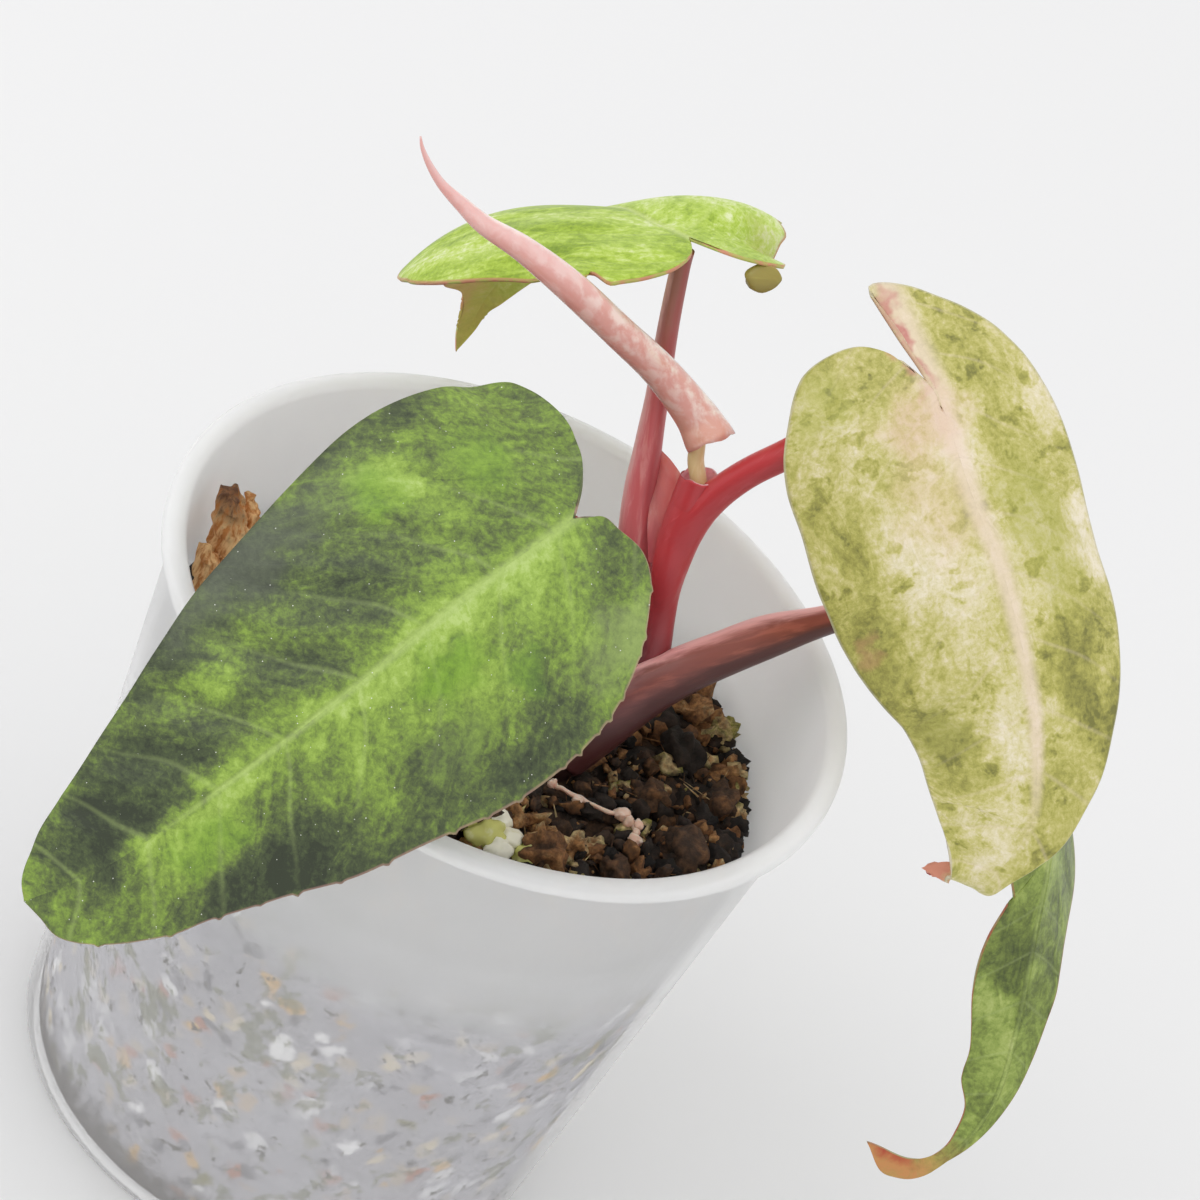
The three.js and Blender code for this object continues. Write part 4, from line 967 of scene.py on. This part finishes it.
wing_finish = stalk_finish("petiole_wing", ("e8918e", "f0b2ac", "f6cac4", "d87478", "c4545c", "ea9c96"),
                           roughness=0.35, soft=0.4, Axis=(-0.3, 0.4, 0.86), Low_from=0.1035, Low_to=0.099,
                           Pale_share=0.7)
wing = bmesh.new()
sheath_edge = [[-1.5, -8], [-1.6, -2.6]] + WING[1:6] + [[2.6, 1], [2.1, -2], [1.3, -5], [0.3, -9]]
closed = Curve(sheath_edge + sheath_edge[:1])
edge = [wing.verts.new((x, y, 0.15)) for x, y in closed.at(np.linspace(0, 1, 61))[:-1]]
wing.faces.new(edge)
raised = bmesh.ops.extrude_face_region(wing, geom=wing.faces[:])
bmesh.ops.translate(wing, verts=[g for g in raised["geom"] if isinstance(g, bmesh.types.BMVert)], vec=(0, 0, 0.4))
bmesh.ops.recalc_face_normals(wing, faces=wing.faces)
bmesh.ops.transform(wing, matrix=set_flat([9.2, 18.4, 98.4]), verts=wing.verts)
finish_piece(wing, "petiole_3_wing", [wing_finish])
fuller = [[x, y, z, r + 0.45 * math.exp(-(((z - 93) / 7) ** 2))] for x, y, z, r in PETIOLE_3]
behind = [[x, y + 0.8 * b, z - 0.6 * b, r] for (x, y, z, r), b in zip(fuller, (6, 4, 2, 0.5))]
stalk("petiole_3_body", [[17.4, 11, 70, 1]] + behind + fuller[4:], pink, "petiole_pink", "petiole_3", steps=160)

# %% [markdown]
# ## The new leaf
# A young leaf comes out of the second petiole's cup on a pale stalk, wrapped in a pointed sheath
# that leans to the left. The sheath's open lower end is thin, ragged and drawn out to one side.

# %% The new leaf
pale_stalk = stalk_finish("new_stalk", ("e3c896", "f0dfb6", "f3e6c4", "cfae78", "d6ac78", "e6cb98"),
                          Low_from=0.108, Low_to=0.106, High_from=0.116, High_to=0.12,
                          Axis=(-0.2, 0.1, 0.95))
sheath_pink = stalk_finish("new_sheath", ("e3a89c", "f4ddd2", "f9ebe3", "d48a80", "e6ab92", "eabdb9"),
                           roughness=0.2, soft=0.12, Amount=0.58, Axis=(-0.45, -0.08, 0.22),
                           Low_from=0.122, Low_to=0.116, High_from=0.13, High_to=0.14,
                           Pale_share=0.9, Dark_share=0.5, Fineness=420.0)
sheath_inside = stalk_finish("sheath_inside", ("f0dcd4", "f6ebe4", "f8f0ea", "e0b4a8", "e6c0b2", "f3e0d8"),
                             roughness=0.35, soft=0.4, Fineness=500.0)
sheath_shader = [node for node in sheath_pink.node_tree.nodes if node.type == "BSDF_PRINCIPLED"][0]
sheath_shader.inputs["Coat Weight"].default_value = 0.5
sheath_shader.inputs["Coat Roughness"].default_value = 0.15
stalk("young_leaf_stalk", STALK, pale_stalk, "new_stalk", "new_leaf_stalk", sides=20, steps=40)
sheath = rolled_bar(HOOD, sides=36, steps=170)
open_end(sheath, HOOD, 0, 0.35, 2.0, 0.5, [(ACROSS, 1.5), ((-0.5, 0.2, -0.8), 0.5)])
finish_piece(sheath, "young_leaf_sheath", [sheath_pink, sheath_inside], "new_leaf_sheath")

# %% [markdown]
# The edge of the lime leaf's right lobe is rolled under into a small olive flap.

# %% The rolled flap
flap_finish = stalk_finish("blade_lime_flap", ("97893f", "a5984a", "b08e55", "7d6d36", "a2804a", "9c9648"),
                           Axis=(0.88, 0.28, 0.38), Low_from=0.1, Low_to=0.09, Pale_share=0.8)
flap = bmesh.new()
bmesh.ops.create_uvsphere(flap, u_segments=32, v_segments=20, radius=1)
for corner in flap.verts:
    corner.co.z *= 1 - 0.35 * corner.co.x
    corner.co += noise.noise_vector(corner.co * 1.4) * 0.12
bmesh.ops.scale(flap, vec=(2.3, 1.9, 0.85), verts=flap.verts)
bmesh.ops.transform(flap, matrix=set_flat([7.2, 24.8, 131.9]), verts=flap.verts)
finish_piece(flap, "leaf_3_flap", [flap_finish])

# %% [markdown]
# ## The pot
# The frosted cup is turned on a lathe: one profile is spun once round the axis. Its drain holes
# are cut with small cylinders, and the cutters are thrown away afterwards.

# %% The pot's frosted plastic
frosted, tree, shader = new_finish("pot_frosted")
spot = add(tree, "ShaderNodeTexCoord").outputs["Object"]
cloudy = speckle(tree, spot, 40.0, 3.0, 0.5)
tree.links.new(blend(tree, cloudy, tint("f4f5f7"), tint("fbfbfb")), shader.inputs["Base Color"])
above_base = add(tree, "ShaderNodeSeparateXYZ", None, Vector=spot).outputs[2]
milky = sum_up(tree, "MULTIPLY_ADD", cloudy, 0.08, 0.18)
milky = sum_up(tree, "MULTIPLY_ADD", smooth_step(tree, above_base, 0.05, 0.068), 0.42, milky)
tree.links.new(milky, shader.inputs["Alpha"])
shader.inputs["Roughness"].default_value = 0.32
shader.inputs["Subsurface Weight"].default_value = 0.8
shader.inputs["Subsurface Radius"].default_value = (1.0, 1.0, 1.0)
shader.inputs["Subsurface Scale"].default_value = 0.002

# %% The pot
inner_base = BASE_RADIUS + 0.7
inner_top = RIM_RADIUS - 3.1
profile = [
    (0, 0), (BASE_RADIUS, 0), (BASE_RADIUS + 1, 0.4), (BASE_RADIUS + 1.5, 1.5),
    (RIM_RADIUS - 2.3, POT_HEIGHT - 3), (RIM_RADIUS - 0.6, POT_HEIGHT - 2.7),
    (RIM_RADIUS - 0.1, POT_HEIGHT - 2.2), (RIM_RADIUS, POT_HEIGHT - 1.4),
    (RIM_RADIUS - 0.1, POT_HEIGHT - 0.5), (RIM_RADIUS - 0.5, POT_HEIGHT - 0.1),
    (RIM_RADIUS - 1.2, POT_HEIGHT), (RIM_RADIUS - 2.3, POT_HEIGHT - 0.1),
    (inner_top, POT_HEIGHT - 1), (inner_base, 2), (inner_base - 0.8, 1.2), (0, 1.2),
]
bm = bmesh.new()
corners = [bm.verts.new((x * MM, 0, z * MM)) for x, z in profile]
for a, b in zip(corners, corners[1:]):
    bm.edges.new((a, b))
bmesh.ops.spin(bm, geom=bm.verts[:] + bm.edges[:], cent=(0, 0, 0), axis=(0, 0, 1),
               angle=2 * math.pi, steps=128, use_merge=True)
bmesh.ops.remove_doubles(bm, verts=bm.verts, dist=1e-6)
bmesh.ops.recalc_face_normals(bm, faces=bm.faces)
pot = finish_piece(bm, "pot_cup", [frosted], "pot")

# %% Drain holes
drill = bmesh.new()
for i in range(8):
    turn = i * math.pi / 4
    spot = Matrix.Translation((0.026 * math.cos(turn), 0.026 * math.sin(turn), 0))
    bmesh.ops.create_cone(drill, cap_ends=True, segments=32, radius1=0.003, radius2=0.003, depth=0.006, matrix=spot)
drill_mesh = bpy.data.meshes.new("drill")
drill.to_mesh(drill_mesh)
drill.free()
cutter = bpy.data.objects.new("drill", drill_mesh)
bpy.context.scene.collection.objects.link(cutter)
cut = pot.modifiers.new("drains", "BOOLEAN")
cut.object = cutter
cut.operation = "DIFFERENCE"
drilled = bpy.data.meshes.new_from_object(pot.evaluated_get(bpy.context.evaluated_depsgraph_get()))
pot.modifiers.clear()
pot.data = drilled
bpy.data.objects.remove(cutter)
print("the drilled pot has", len(drilled.polygons), "faces")

# %% [markdown]
# ## The growing mix
# Coarse bark and fibre. One body fills the pot and shows through the wall. On top of it lie the
# large chunks of the solid model, and smaller chips and crumbs between them, all from one
# repeatable stream of numbers.

# %% Mix finishes
bark, tree, shader = new_finish("growing_mix")
spot = add(tree, "ShaderNodeTexCoord").outputs["Object"]
tone = add(tree, "ShaderNodeAttribute", {"attribute_name": "tone"}).outputs["Fac"]
tone = sum_up(tree, "MULTIPLY_ADD", sum_up(tree, "SUBTRACT", speckle(tree, spot, 420.0, 5.0, 0.7), 0.5), 0.55, tone)
ramp = add(tree, "ShaderNodeValToRGB", None, Fac=tone)
ramp.color_ramp.interpolation = "LINEAR"
stops = [(0.0, "1d1815"), (0.35, "3a2d24"), (0.55, "644832"), (0.68, "96683f"), (0.8, "c08f5c"), (0.9, "e6cf9c"),
         (1.0, "a3a050")]
ramp.color_ramp.elements[0].color = tint(stops[0][1])
ramp.color_ramp.elements[1].color = tint(stops[-1][1])
for place, colour in stops[1:-1]:
    ramp.color_ramp.elements.new(place).color = tint(colour)
rough_bits = speckle(tree, spot, 900.0, 5.0, 0.65)
shade = blend(tree, smooth_step(tree, rough_bits, 0.3, 0.7), tint("5a5450"), tint("fffaf4"))
tree.links.new(blend(tree, 0.8, ramp.outputs[0], shade, "MULTIPLY"), shader.inputs["Base Color"])
relief = add(tree, "ShaderNodeBump", None, Height=rough_bits, Strength=0.8, Distance=0.0006)
tree.links.new(relief.outputs[0], shader.inputs["Normal"])
shader.inputs["Roughness"].default_value = 0.85

packed, tree, shader = new_finish("growing_mix_packed")
spot = add(tree, "ShaderNodeTexCoord").outputs["Object"]
bent = add(tree, "ShaderNodeVectorMath", {"operation": "MULTIPLY_ADD"},
           n0=add(tree, "ShaderNodeTexNoise", None, Vector=spot, Scale=260.0).outputs["Color"],
           n1=(0.006, 0.006, 0.006), n2=spot).outputs[0]
cells = add(tree, "ShaderNodeTexVoronoi", None, Vector=bent, Scale=300.0, Randomness=1.0)
pick = add(tree, "ShaderNodeSeparateColor", None, Color=cells.outputs["Color"]).outputs[0]
wall_ramp = add(tree, "ShaderNodeValToRGB", None, Fac=pick)
wall_ramp.color_ramp.interpolation = "CONSTANT"
stops = [(0.0, "716e74"), (0.2, "aeacb2"), (0.42, "c6b8a4"), (0.52, "86824c"), (0.6, "e0b566"), (0.7, "e6d8ba"),
         (0.8, "b87a5e"), (0.86, "fbfbfb")]
wall_ramp.color_ramp.elements[0].color = tint(stops[0][1])
wall_ramp.color_ramp.elements[1].position = stops[-1][0]
wall_ramp.color_ramp.elements[1].color = tint(stops[-1][1])
for place, colour in stops[1:-1]:
    wall_ramp.color_ramp.elements.new(place).color = tint(colour)
gaps = smooth_step(tree, cells.outputs["Distance"], 0.6, 0.25)
chips_seen = blend(tree, gaps, tint("b1afb5"), wall_ramp.outputs[0])
fine_bits = speckle(tree, spot, 420.0, 4.0, 0.7)
hazy = smooth_step(tree, speckle(tree, spot, 55.0, 4.0, 0.6), 0.42, 0.6)
chips_seen = blend(tree, sum_up(tree, "MULTIPLY", hazy, 0.6), chips_seen, tint("c2c1c7"))
chips_seen = blend(tree, smooth_step(tree, fine_bits, 0.6, 0.66), chips_seen, tint("4a4434"))
above_base = add(tree, "ShaderNodeSeparateXYZ", None, Vector=spot).outputs[2]
# Darker brown towards the base of the mix, with a ragged upper edge.
darker_towards_base = smooth_step(tree, sum_up(tree, "MULTIPLY_ADD", fine_bits, -0.012, above_base), 0.0035, -0.003)
chips_seen = blend(tree, smooth_step(tree, above_base, 0.052, 0.068), chips_seen, tint("c9c8ca"))
algae = smooth_step(tree, speckle(tree, spot, 160.0, 4.0, 0.7), 0.56, 0.62)
chips_seen = blend(tree, sum_up(tree, "MULTIPLY", algae, 0.7), chips_seen, tint("6b6e38"))
tree.links.new(blend(tree, darker_towards_base, chips_seen, tint("3c2c1c")), shader.inputs["Base Color"])
shader.inputs["Roughness"].default_value = 0.85

# %% The body of the mix
def mix_height(x, y):
    rolling = 0.9 * math.sin(0.33 * x + 1.3) * math.cos(0.29 * y)
    return MIX_LEVEL + rolling + 0.6 * math.sin(0.61 * x - 0.53 * y) + 0.02 * (x + y)


def inner_radius(z):
    slope = (inner_top - inner_base) / (POT_HEIGHT - 3)
    return inner_base + slope * (z + PLANT_LEVEL - 2)


bm = bmesh.new()
outline = [(0, -4.4), (inner_base - 1, -4.4)]
outline += [(inner_radius(z) - 0.6, z) for z in range(-2, 63, 2)]
outline += [(r, 63.0) for r in range(40, -1, -1)]
corners = [bm.verts.new((x, 0, z)) for x, z in outline]
for a, b in zip(corners, corners[1:]):
    bm.edges.new((a, b))
bmesh.ops.spin(bm, geom=bm.verts[:] + bm.edges[:], cent=(0, 0, 0), axis=(0, 0, 1),
               angle=2 * math.pi, steps=120, use_merge=True)
bmesh.ops.remove_doubles(bm, verts=bm.verts, dist=1e-3)
bmesh.ops.recalc_face_normals(bm, faces=bm.faces)
tone_layer = bm.verts.layers.float.new("tone")
for corner in bm.verts:
    if corner.co.z > 62.5:
        flat = Vector((corner.co.x, corner.co.y, 0))
        crumbs = 1.3 * noise.noise(flat * 0.35) + 0.8 * noise.noise(flat * 0.9) + 0.4 * noise.noise(flat * 2.1)
        corner.co.z = mix_height(flat.x, flat.y) - 0.6 + crumbs
        corner[tone_layer] = 0.35 + 0.5 * noise.noise(flat * 0.25)
    corner.co = placed([corner.co])[0]
for face in bm.faces:
    face.material_index = 0 if face.normal.z > 0.5 else 1
finish_piece(bm, "mix_body", [bark, packed], "growing_mix")

# %% Chunks, chips and crumbs on top
def seeded(seed):
    state = seed
    while True:
        state = (state * 1664525 + 1013904223) % 4294967296
        yield state / 4294967296


def lump(bm, centre, size, stream, detail, tone, layer, rough=0.25, flat=1.0):
    stretch = [0.75 + 0.5 * next(stream), 0.75 + 0.5 * next(stream), 0.6 + 0.4 * next(stream)]
    tilt = Matrix.Rotation(next(stream) * math.pi, 3, "X")
    turn = Matrix.Rotation(next(stream) * math.pi, 3, "Z")
    made = bmesh.ops.create_icosphere(bm, subdivisions=detail, radius=1)["verts"]
    for corner in made:
        shape = Vector([corner.co[k] * stretch[k] * size for k in range(3)])
        shape.x *= flat
        bumps = noise.noise(corner.co * 1.6 + Vector(centre)) + 0.5 * noise.noise(corner.co * 4 + Vector(centre))
        shape *= 1 + rough * bumps
        corner.co = Vector(placed([Vector(centre) + turn @ tilt @ shape])[0])
        corner[layer] = tone + 0.12 * bumps


def kept_in(x, y, size):
    limit = (inner_radius(MIX_LEVEL) - 0.6 - 1.9 * size) / math.hypot(x, y)
    return (x * min(1, limit), y * min(1, limit))


def batches(count, size=60):
    for first in range(0, count, size):
        batch = bmesh.new()
        heap.append(batch)
        yield batch, batch.verts.layers.float.new("tone"), range(first, min(first + size, count))


heap = []
stream = seeded(21)
dice = random.Random(4)
CHUNKS = 46
for bm, tone_layer, numbers in batches(CHUNKS):
    for i in numbers:
        turn = i * math.pi * (3 - math.sqrt(5))
        reach = 39 * math.sqrt((i + 0.5) / CHUNKS)
        size = 1.6 + 2.2 * next(stream)
        x, y = kept_in(reach * math.cos(turn), reach * math.sin(turn), size)
        centre = (x, y, mix_height(x, y) + 0.25 * size)
        lump(bm, centre, size, stream, 3, dice.uniform(0.1, 0.8), tone_layer, 0.55)
chips = seeded(77)
for bm, tone_layer, numbers in batches(2600):
    for i in numbers:
        turn = 2 * math.pi * next(chips)
        away = 40.6 * math.sqrt(next(chips))
        size = 0.3 + 1.5 * next(chips) ** 2.5
        x, y = kept_in(away * math.cos(turn), away * math.sin(turn), size)
        centre = (x, y, mix_height(x, y) + 0.5 * size * dice.random())
        tone = min(0.92, dice.random() ** 1.1)
        lump(bm, centre, size, chips, 2 if size > 0.8 else 1, tone, tone_layer, 0.8, dice.uniform(0.4, 1.0))
placed_lumps = [
    ((27.7, 28, 64.5), 4.2, 0.72), ((31, 24, 64.5), 3.0, 0.74), ((21, 33, 62.5), 2.6, 0.7),
    ((34.6, 24.6, 66), 2.0, 0.94), ((36.2, 19, 65.6), 1.9, 0.08), ((21, -12.6, 64.6), 2.4, 0.82),
    ((34, 14, 64.5), 2.6, 0.74), ((37, 9, 64.6), 2.3, 0.66), ((38.6, 2, 64.4), 2.0, 0.76),
    ((39, -5, 64.6), 1.9, 0.6), ((38.4, -9, 64.8), 1.7, 1.0), ((36, -16, 64.4), 2.2, 0.4),
    ((17, -14.5, 65), 1.8, 0.8), ((14.5, -11.5, 65), 2.0, 0.74), ((31, 9, 64), 2.6, 0.15),
    ((25, 20, 65), 2.6, 0.25), ((12, -13, 65.2), 1.8, 0.74), ((33, -20, 64.6), 1.8, 0.66),
]
for i in range(30):
    turn = math.radians(-48 + 3.4 * i)
    size = dice.uniform(0.8, 1.9)
    x, y = kept_in(43 * math.cos(turn), 43 * math.sin(turn), size)
    placed_lumps.append(((x, y, 64.2 + dice.uniform(0, 1.6)), size, dice.choice((0.1, 0.3, 0.6, 0.74, 0.88))))
for bm, tone_layer, numbers in batches(len(placed_lumps)):
    for i in numbers:
        centre, size, tone = placed_lumps[i]
        centre = (*kept_in(centre[0], centre[1], 0.8 * size), centre[2])
        lump(bm, centre, size, chips, 3, tone, tone_layer, 0.9)
for bm, tone_layer, numbers in batches(420):
    for i in numbers:
        turn = 2 * math.pi * dice.random()
        away = 39.5 * math.sqrt(dice.random())
        x, y = away * math.cos(turn), away * math.sin(turn)
        pose = Matrix.Rotation(dice.uniform(0, 6.3), 4, "Z") @ Matrix.Rotation(dice.uniform(1.0, 1.9), 4, "X")
        where = Matrix.Translation(Vector(placed([[x, y, mix_height(x, y) + dice.uniform(0, 1)]])[0]))
        thick = dice.uniform(0.05, 0.16) * MM
        made = bmesh.ops.create_cone(bm, segments=5, radius1=thick, radius2=0.3 * thick,
                                     depth=dice.uniform(1.5, 5) * MM, matrix=where @ pose)["verts"]
        tone = dice.choice((0.3, 0.5, 0.6, 0.72, 0.85))
        for corner in made:
            corner[tone_layer] = tone
finish_piece(joined(heap), "mix_chips", [bark])

# %% [markdown]
# ## Husk, pebbles and root
# A torn piece of coconut husk leans on the wall at the left, a few pale pebbles lie in front of
# the stem, and a thin root with small beads runs over the mix.

# %% Husk, pebbles and root
HUSK_BARS = [
    [[-33.5, 1.5, 61, 3.4], [-37, 1.5, 70, 3.2], [-41, 1.2, 79, 1]],
    [[-33, 5, 61, 3], [-36, 6, 68, 2.6], [-38.5, 8, 75, 0.8]],
    [[-34, -2, 61, 3], [-37.5, -2.5, 67, 2.4], [-40, -3, 72.5, 0.7]],
    [[-35, 3.5, 66, 2.2], [-39, 4, 73, 1.6], [-40.5, 4.6, 78, 0.5]],
]
PEBBLES = [[10, -19, 65.6, 2.8], [13.2, -17.4, 65.4, 2.4], [7.2, -17.8, 65.6, 2.5],
           [10.4, -16, 66.2, 2.1], [15.8, -18.8, 65, 2.2], [12.4, -20.8, 65.2, 2.3], [5, -19.8, 65.2, 2.2]]

husk_finish, tree, shader = new_finish("husk")
spot = add(tree, "ShaderNodeTexCoord").outputs["Object"]
drawn_out = add(tree, "ShaderNodeMapping", None, Vector=spot, Scale=(1, 1, 0.2)).outputs[0]
fibres = speckle(tree, drawn_out, 1400.0, 4.0, 0.6)
tan = blend(tree, smooth_step(tree, fibres, 0.35, 0.65), tint("c07c42"), tint("f8cd94"))
stained = smooth_step(tree, sum_up(tree, "MULTIPLY_ADD", fibres, 0.012, add(tree, "ShaderNodeSeparateXYZ", None, Vector=spot).outputs[2]), 0.086, 0.092)
tree.links.new(blend(tree, stained, tan, tint("6a4630")), shader.inputs["Base Color"])
relief = add(tree, "ShaderNodeBump", None, Height=fibres, Strength=0.8, Distance=0.0008)
tree.links.new(relief.outputs[0], shader.inputs["Normal"])
shader.inputs["Roughness"].default_value = 0.9

for i, route in enumerate(HUSK_BARS):
    stalk("husk_body" if i == 0 else f"husk_shred_{i}", route, husk_finish, "husk",
          "husk_chunk" if i == 0 else None, sides=20, steps=50, roughen=0.8)

pebble_finish, tree, shader = new_finish("pebbles")
spot = add(tree, "ShaderNodeTexCoord").outputs["Object"]
cloudy = speckle(tree, spot, 500.0, 4.0)
tone = add(tree, "ShaderNodeAttribute", {"attribute_name": "tone"}).outputs["Fac"]
cloudy = smooth_step(tree, sum_up(tree, "ADD", cloudy, tone), 0.75, 1.2)
tree.links.new(blend(tree, cloudy, tint("d0cf78"), tint("fbf8e6")), shader.inputs["Base Color"])
shader.inputs["Roughness"].default_value = 0.6
bm = bmesh.new()
tone_layer = bm.verts.layers.float.new("tone")
pebble_stream = seeded(5)
for i, (x, y, z, r) in enumerate(PEBBLES):
    lump(bm, (x, y, z), r * 0.85, pebble_stream, 3, (0.25, 0.75)[i % 2], tone_layer, 0.32)
finish_piece(bm, "pebble_heap", [pebble_finish], "pebbles")

root_finish = stalk_finish("root", ("ecc4ae", "f7e2d2", "faece0", "d8a288", "dcae92", "f2d6c4"),
                           roughness=0.45, soft=0.3, Axis=(0.97, -0.2, 0.1), Low_from=0.066, Low_to=0.062)
thin_root = [[x, y, z + 0.3, 0.36 * r] for x, y, z, r in ROOT]
strand = rolled_bar(thin_root, sides=14, steps=90, roughen=0.25)
tone_layer = strand.verts.layers.float.new("tone")
beads = [((14.6, -3.9, 65.8), 0.8), ((18.6, -5.3, 66.6), 0.75), ((24.4, -4.1, 67.1), 1.35),
         ((25.6, -4.7, 67.0), 0.9), ((26.9, -4.4, 67.1), 0.8), ((27.2, -5.6, 66.7), 0.6), ((27.5, -6.6, 66.4), 0.85)]
for centre, size in beads:
    lump(strand, centre, size, pebble_stream, 3, 0.5, tone_layer, 0.3)
finish_piece(strand, "root_strand", [root_finish], "aerial_root")

# %% [markdown]
# ## Studio
# A plain pale floor fills the picture. One wide soft light hangs above on the left, and a bright
# sky all round keeps the shadows pale.

# %% Studio
floor_finish, tree, shader = new_finish("floor")
spot = add(tree, "ShaderNodeTexCoord").outputs["Object"]
tree.links.new(blend(tree, speckle(tree, spot, 2.0, 2.0), tint("ebebec"), tint("eeeeee")), shader.inputs["Base Color"])
shader.inputs["Roughness"].default_value = 0.9
shader.inputs["Specular IOR Level"].default_value = 0.1
bm = bmesh.new()
bmesh.ops.create_circle(bm, cap_ends=True, segments=96, radius=3)
floor_mesh = bpy.data.meshes.new("floor")
bm.to_mesh(floor_mesh)
bm.free()
floor_mesh.materials.append(floor_finish)
floor = bpy.data.objects.new("floor", floor_mesh)
bpy.context.scene.collection.objects.link(floor)
floor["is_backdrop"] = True

world = bpy.data.worlds.new("studio")
world.use_nodes = True
world.node_tree.nodes["Background"].inputs["Color"].default_value = (1, 1, 1, 1)
world.node_tree.nodes["Background"].inputs["Strength"].default_value = 0.96
bpy.context.scene.world = world
bpy.context.scene.view_settings.view_transform = "Standard"


def soft_light(name, place, aim, size, power):
    lamp = bpy.data.lights.new(name, "AREA")
    lamp.shape = "DISK"
    lamp.size = size
    lamp.energy = power
    light = bpy.data.objects.new(name, lamp)
    light.location = place
    light.rotation_euler = (Vector(aim) - Vector(place)).to_track_quat("-Z", "Y").to_euler()
    bpy.context.scene.collection.objects.link(light)
    return light


soft_light("key", (-0.7, -0.3, 1.1), (0, 0, 0.1), 0.9, 2.7)

# %% [markdown]
# ## Sizes
# The solid model's box and the finished plant's box are both printed. The finished
# plant has to stay inside the solid model's box.

# %% Sizes
visual_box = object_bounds()
sizes = {"solid": [list(c) for c in solid_box], "visual": [list(c) for c in visual_box]}
print("solid", sizes["solid"])
print("visual", sizes["visual"])
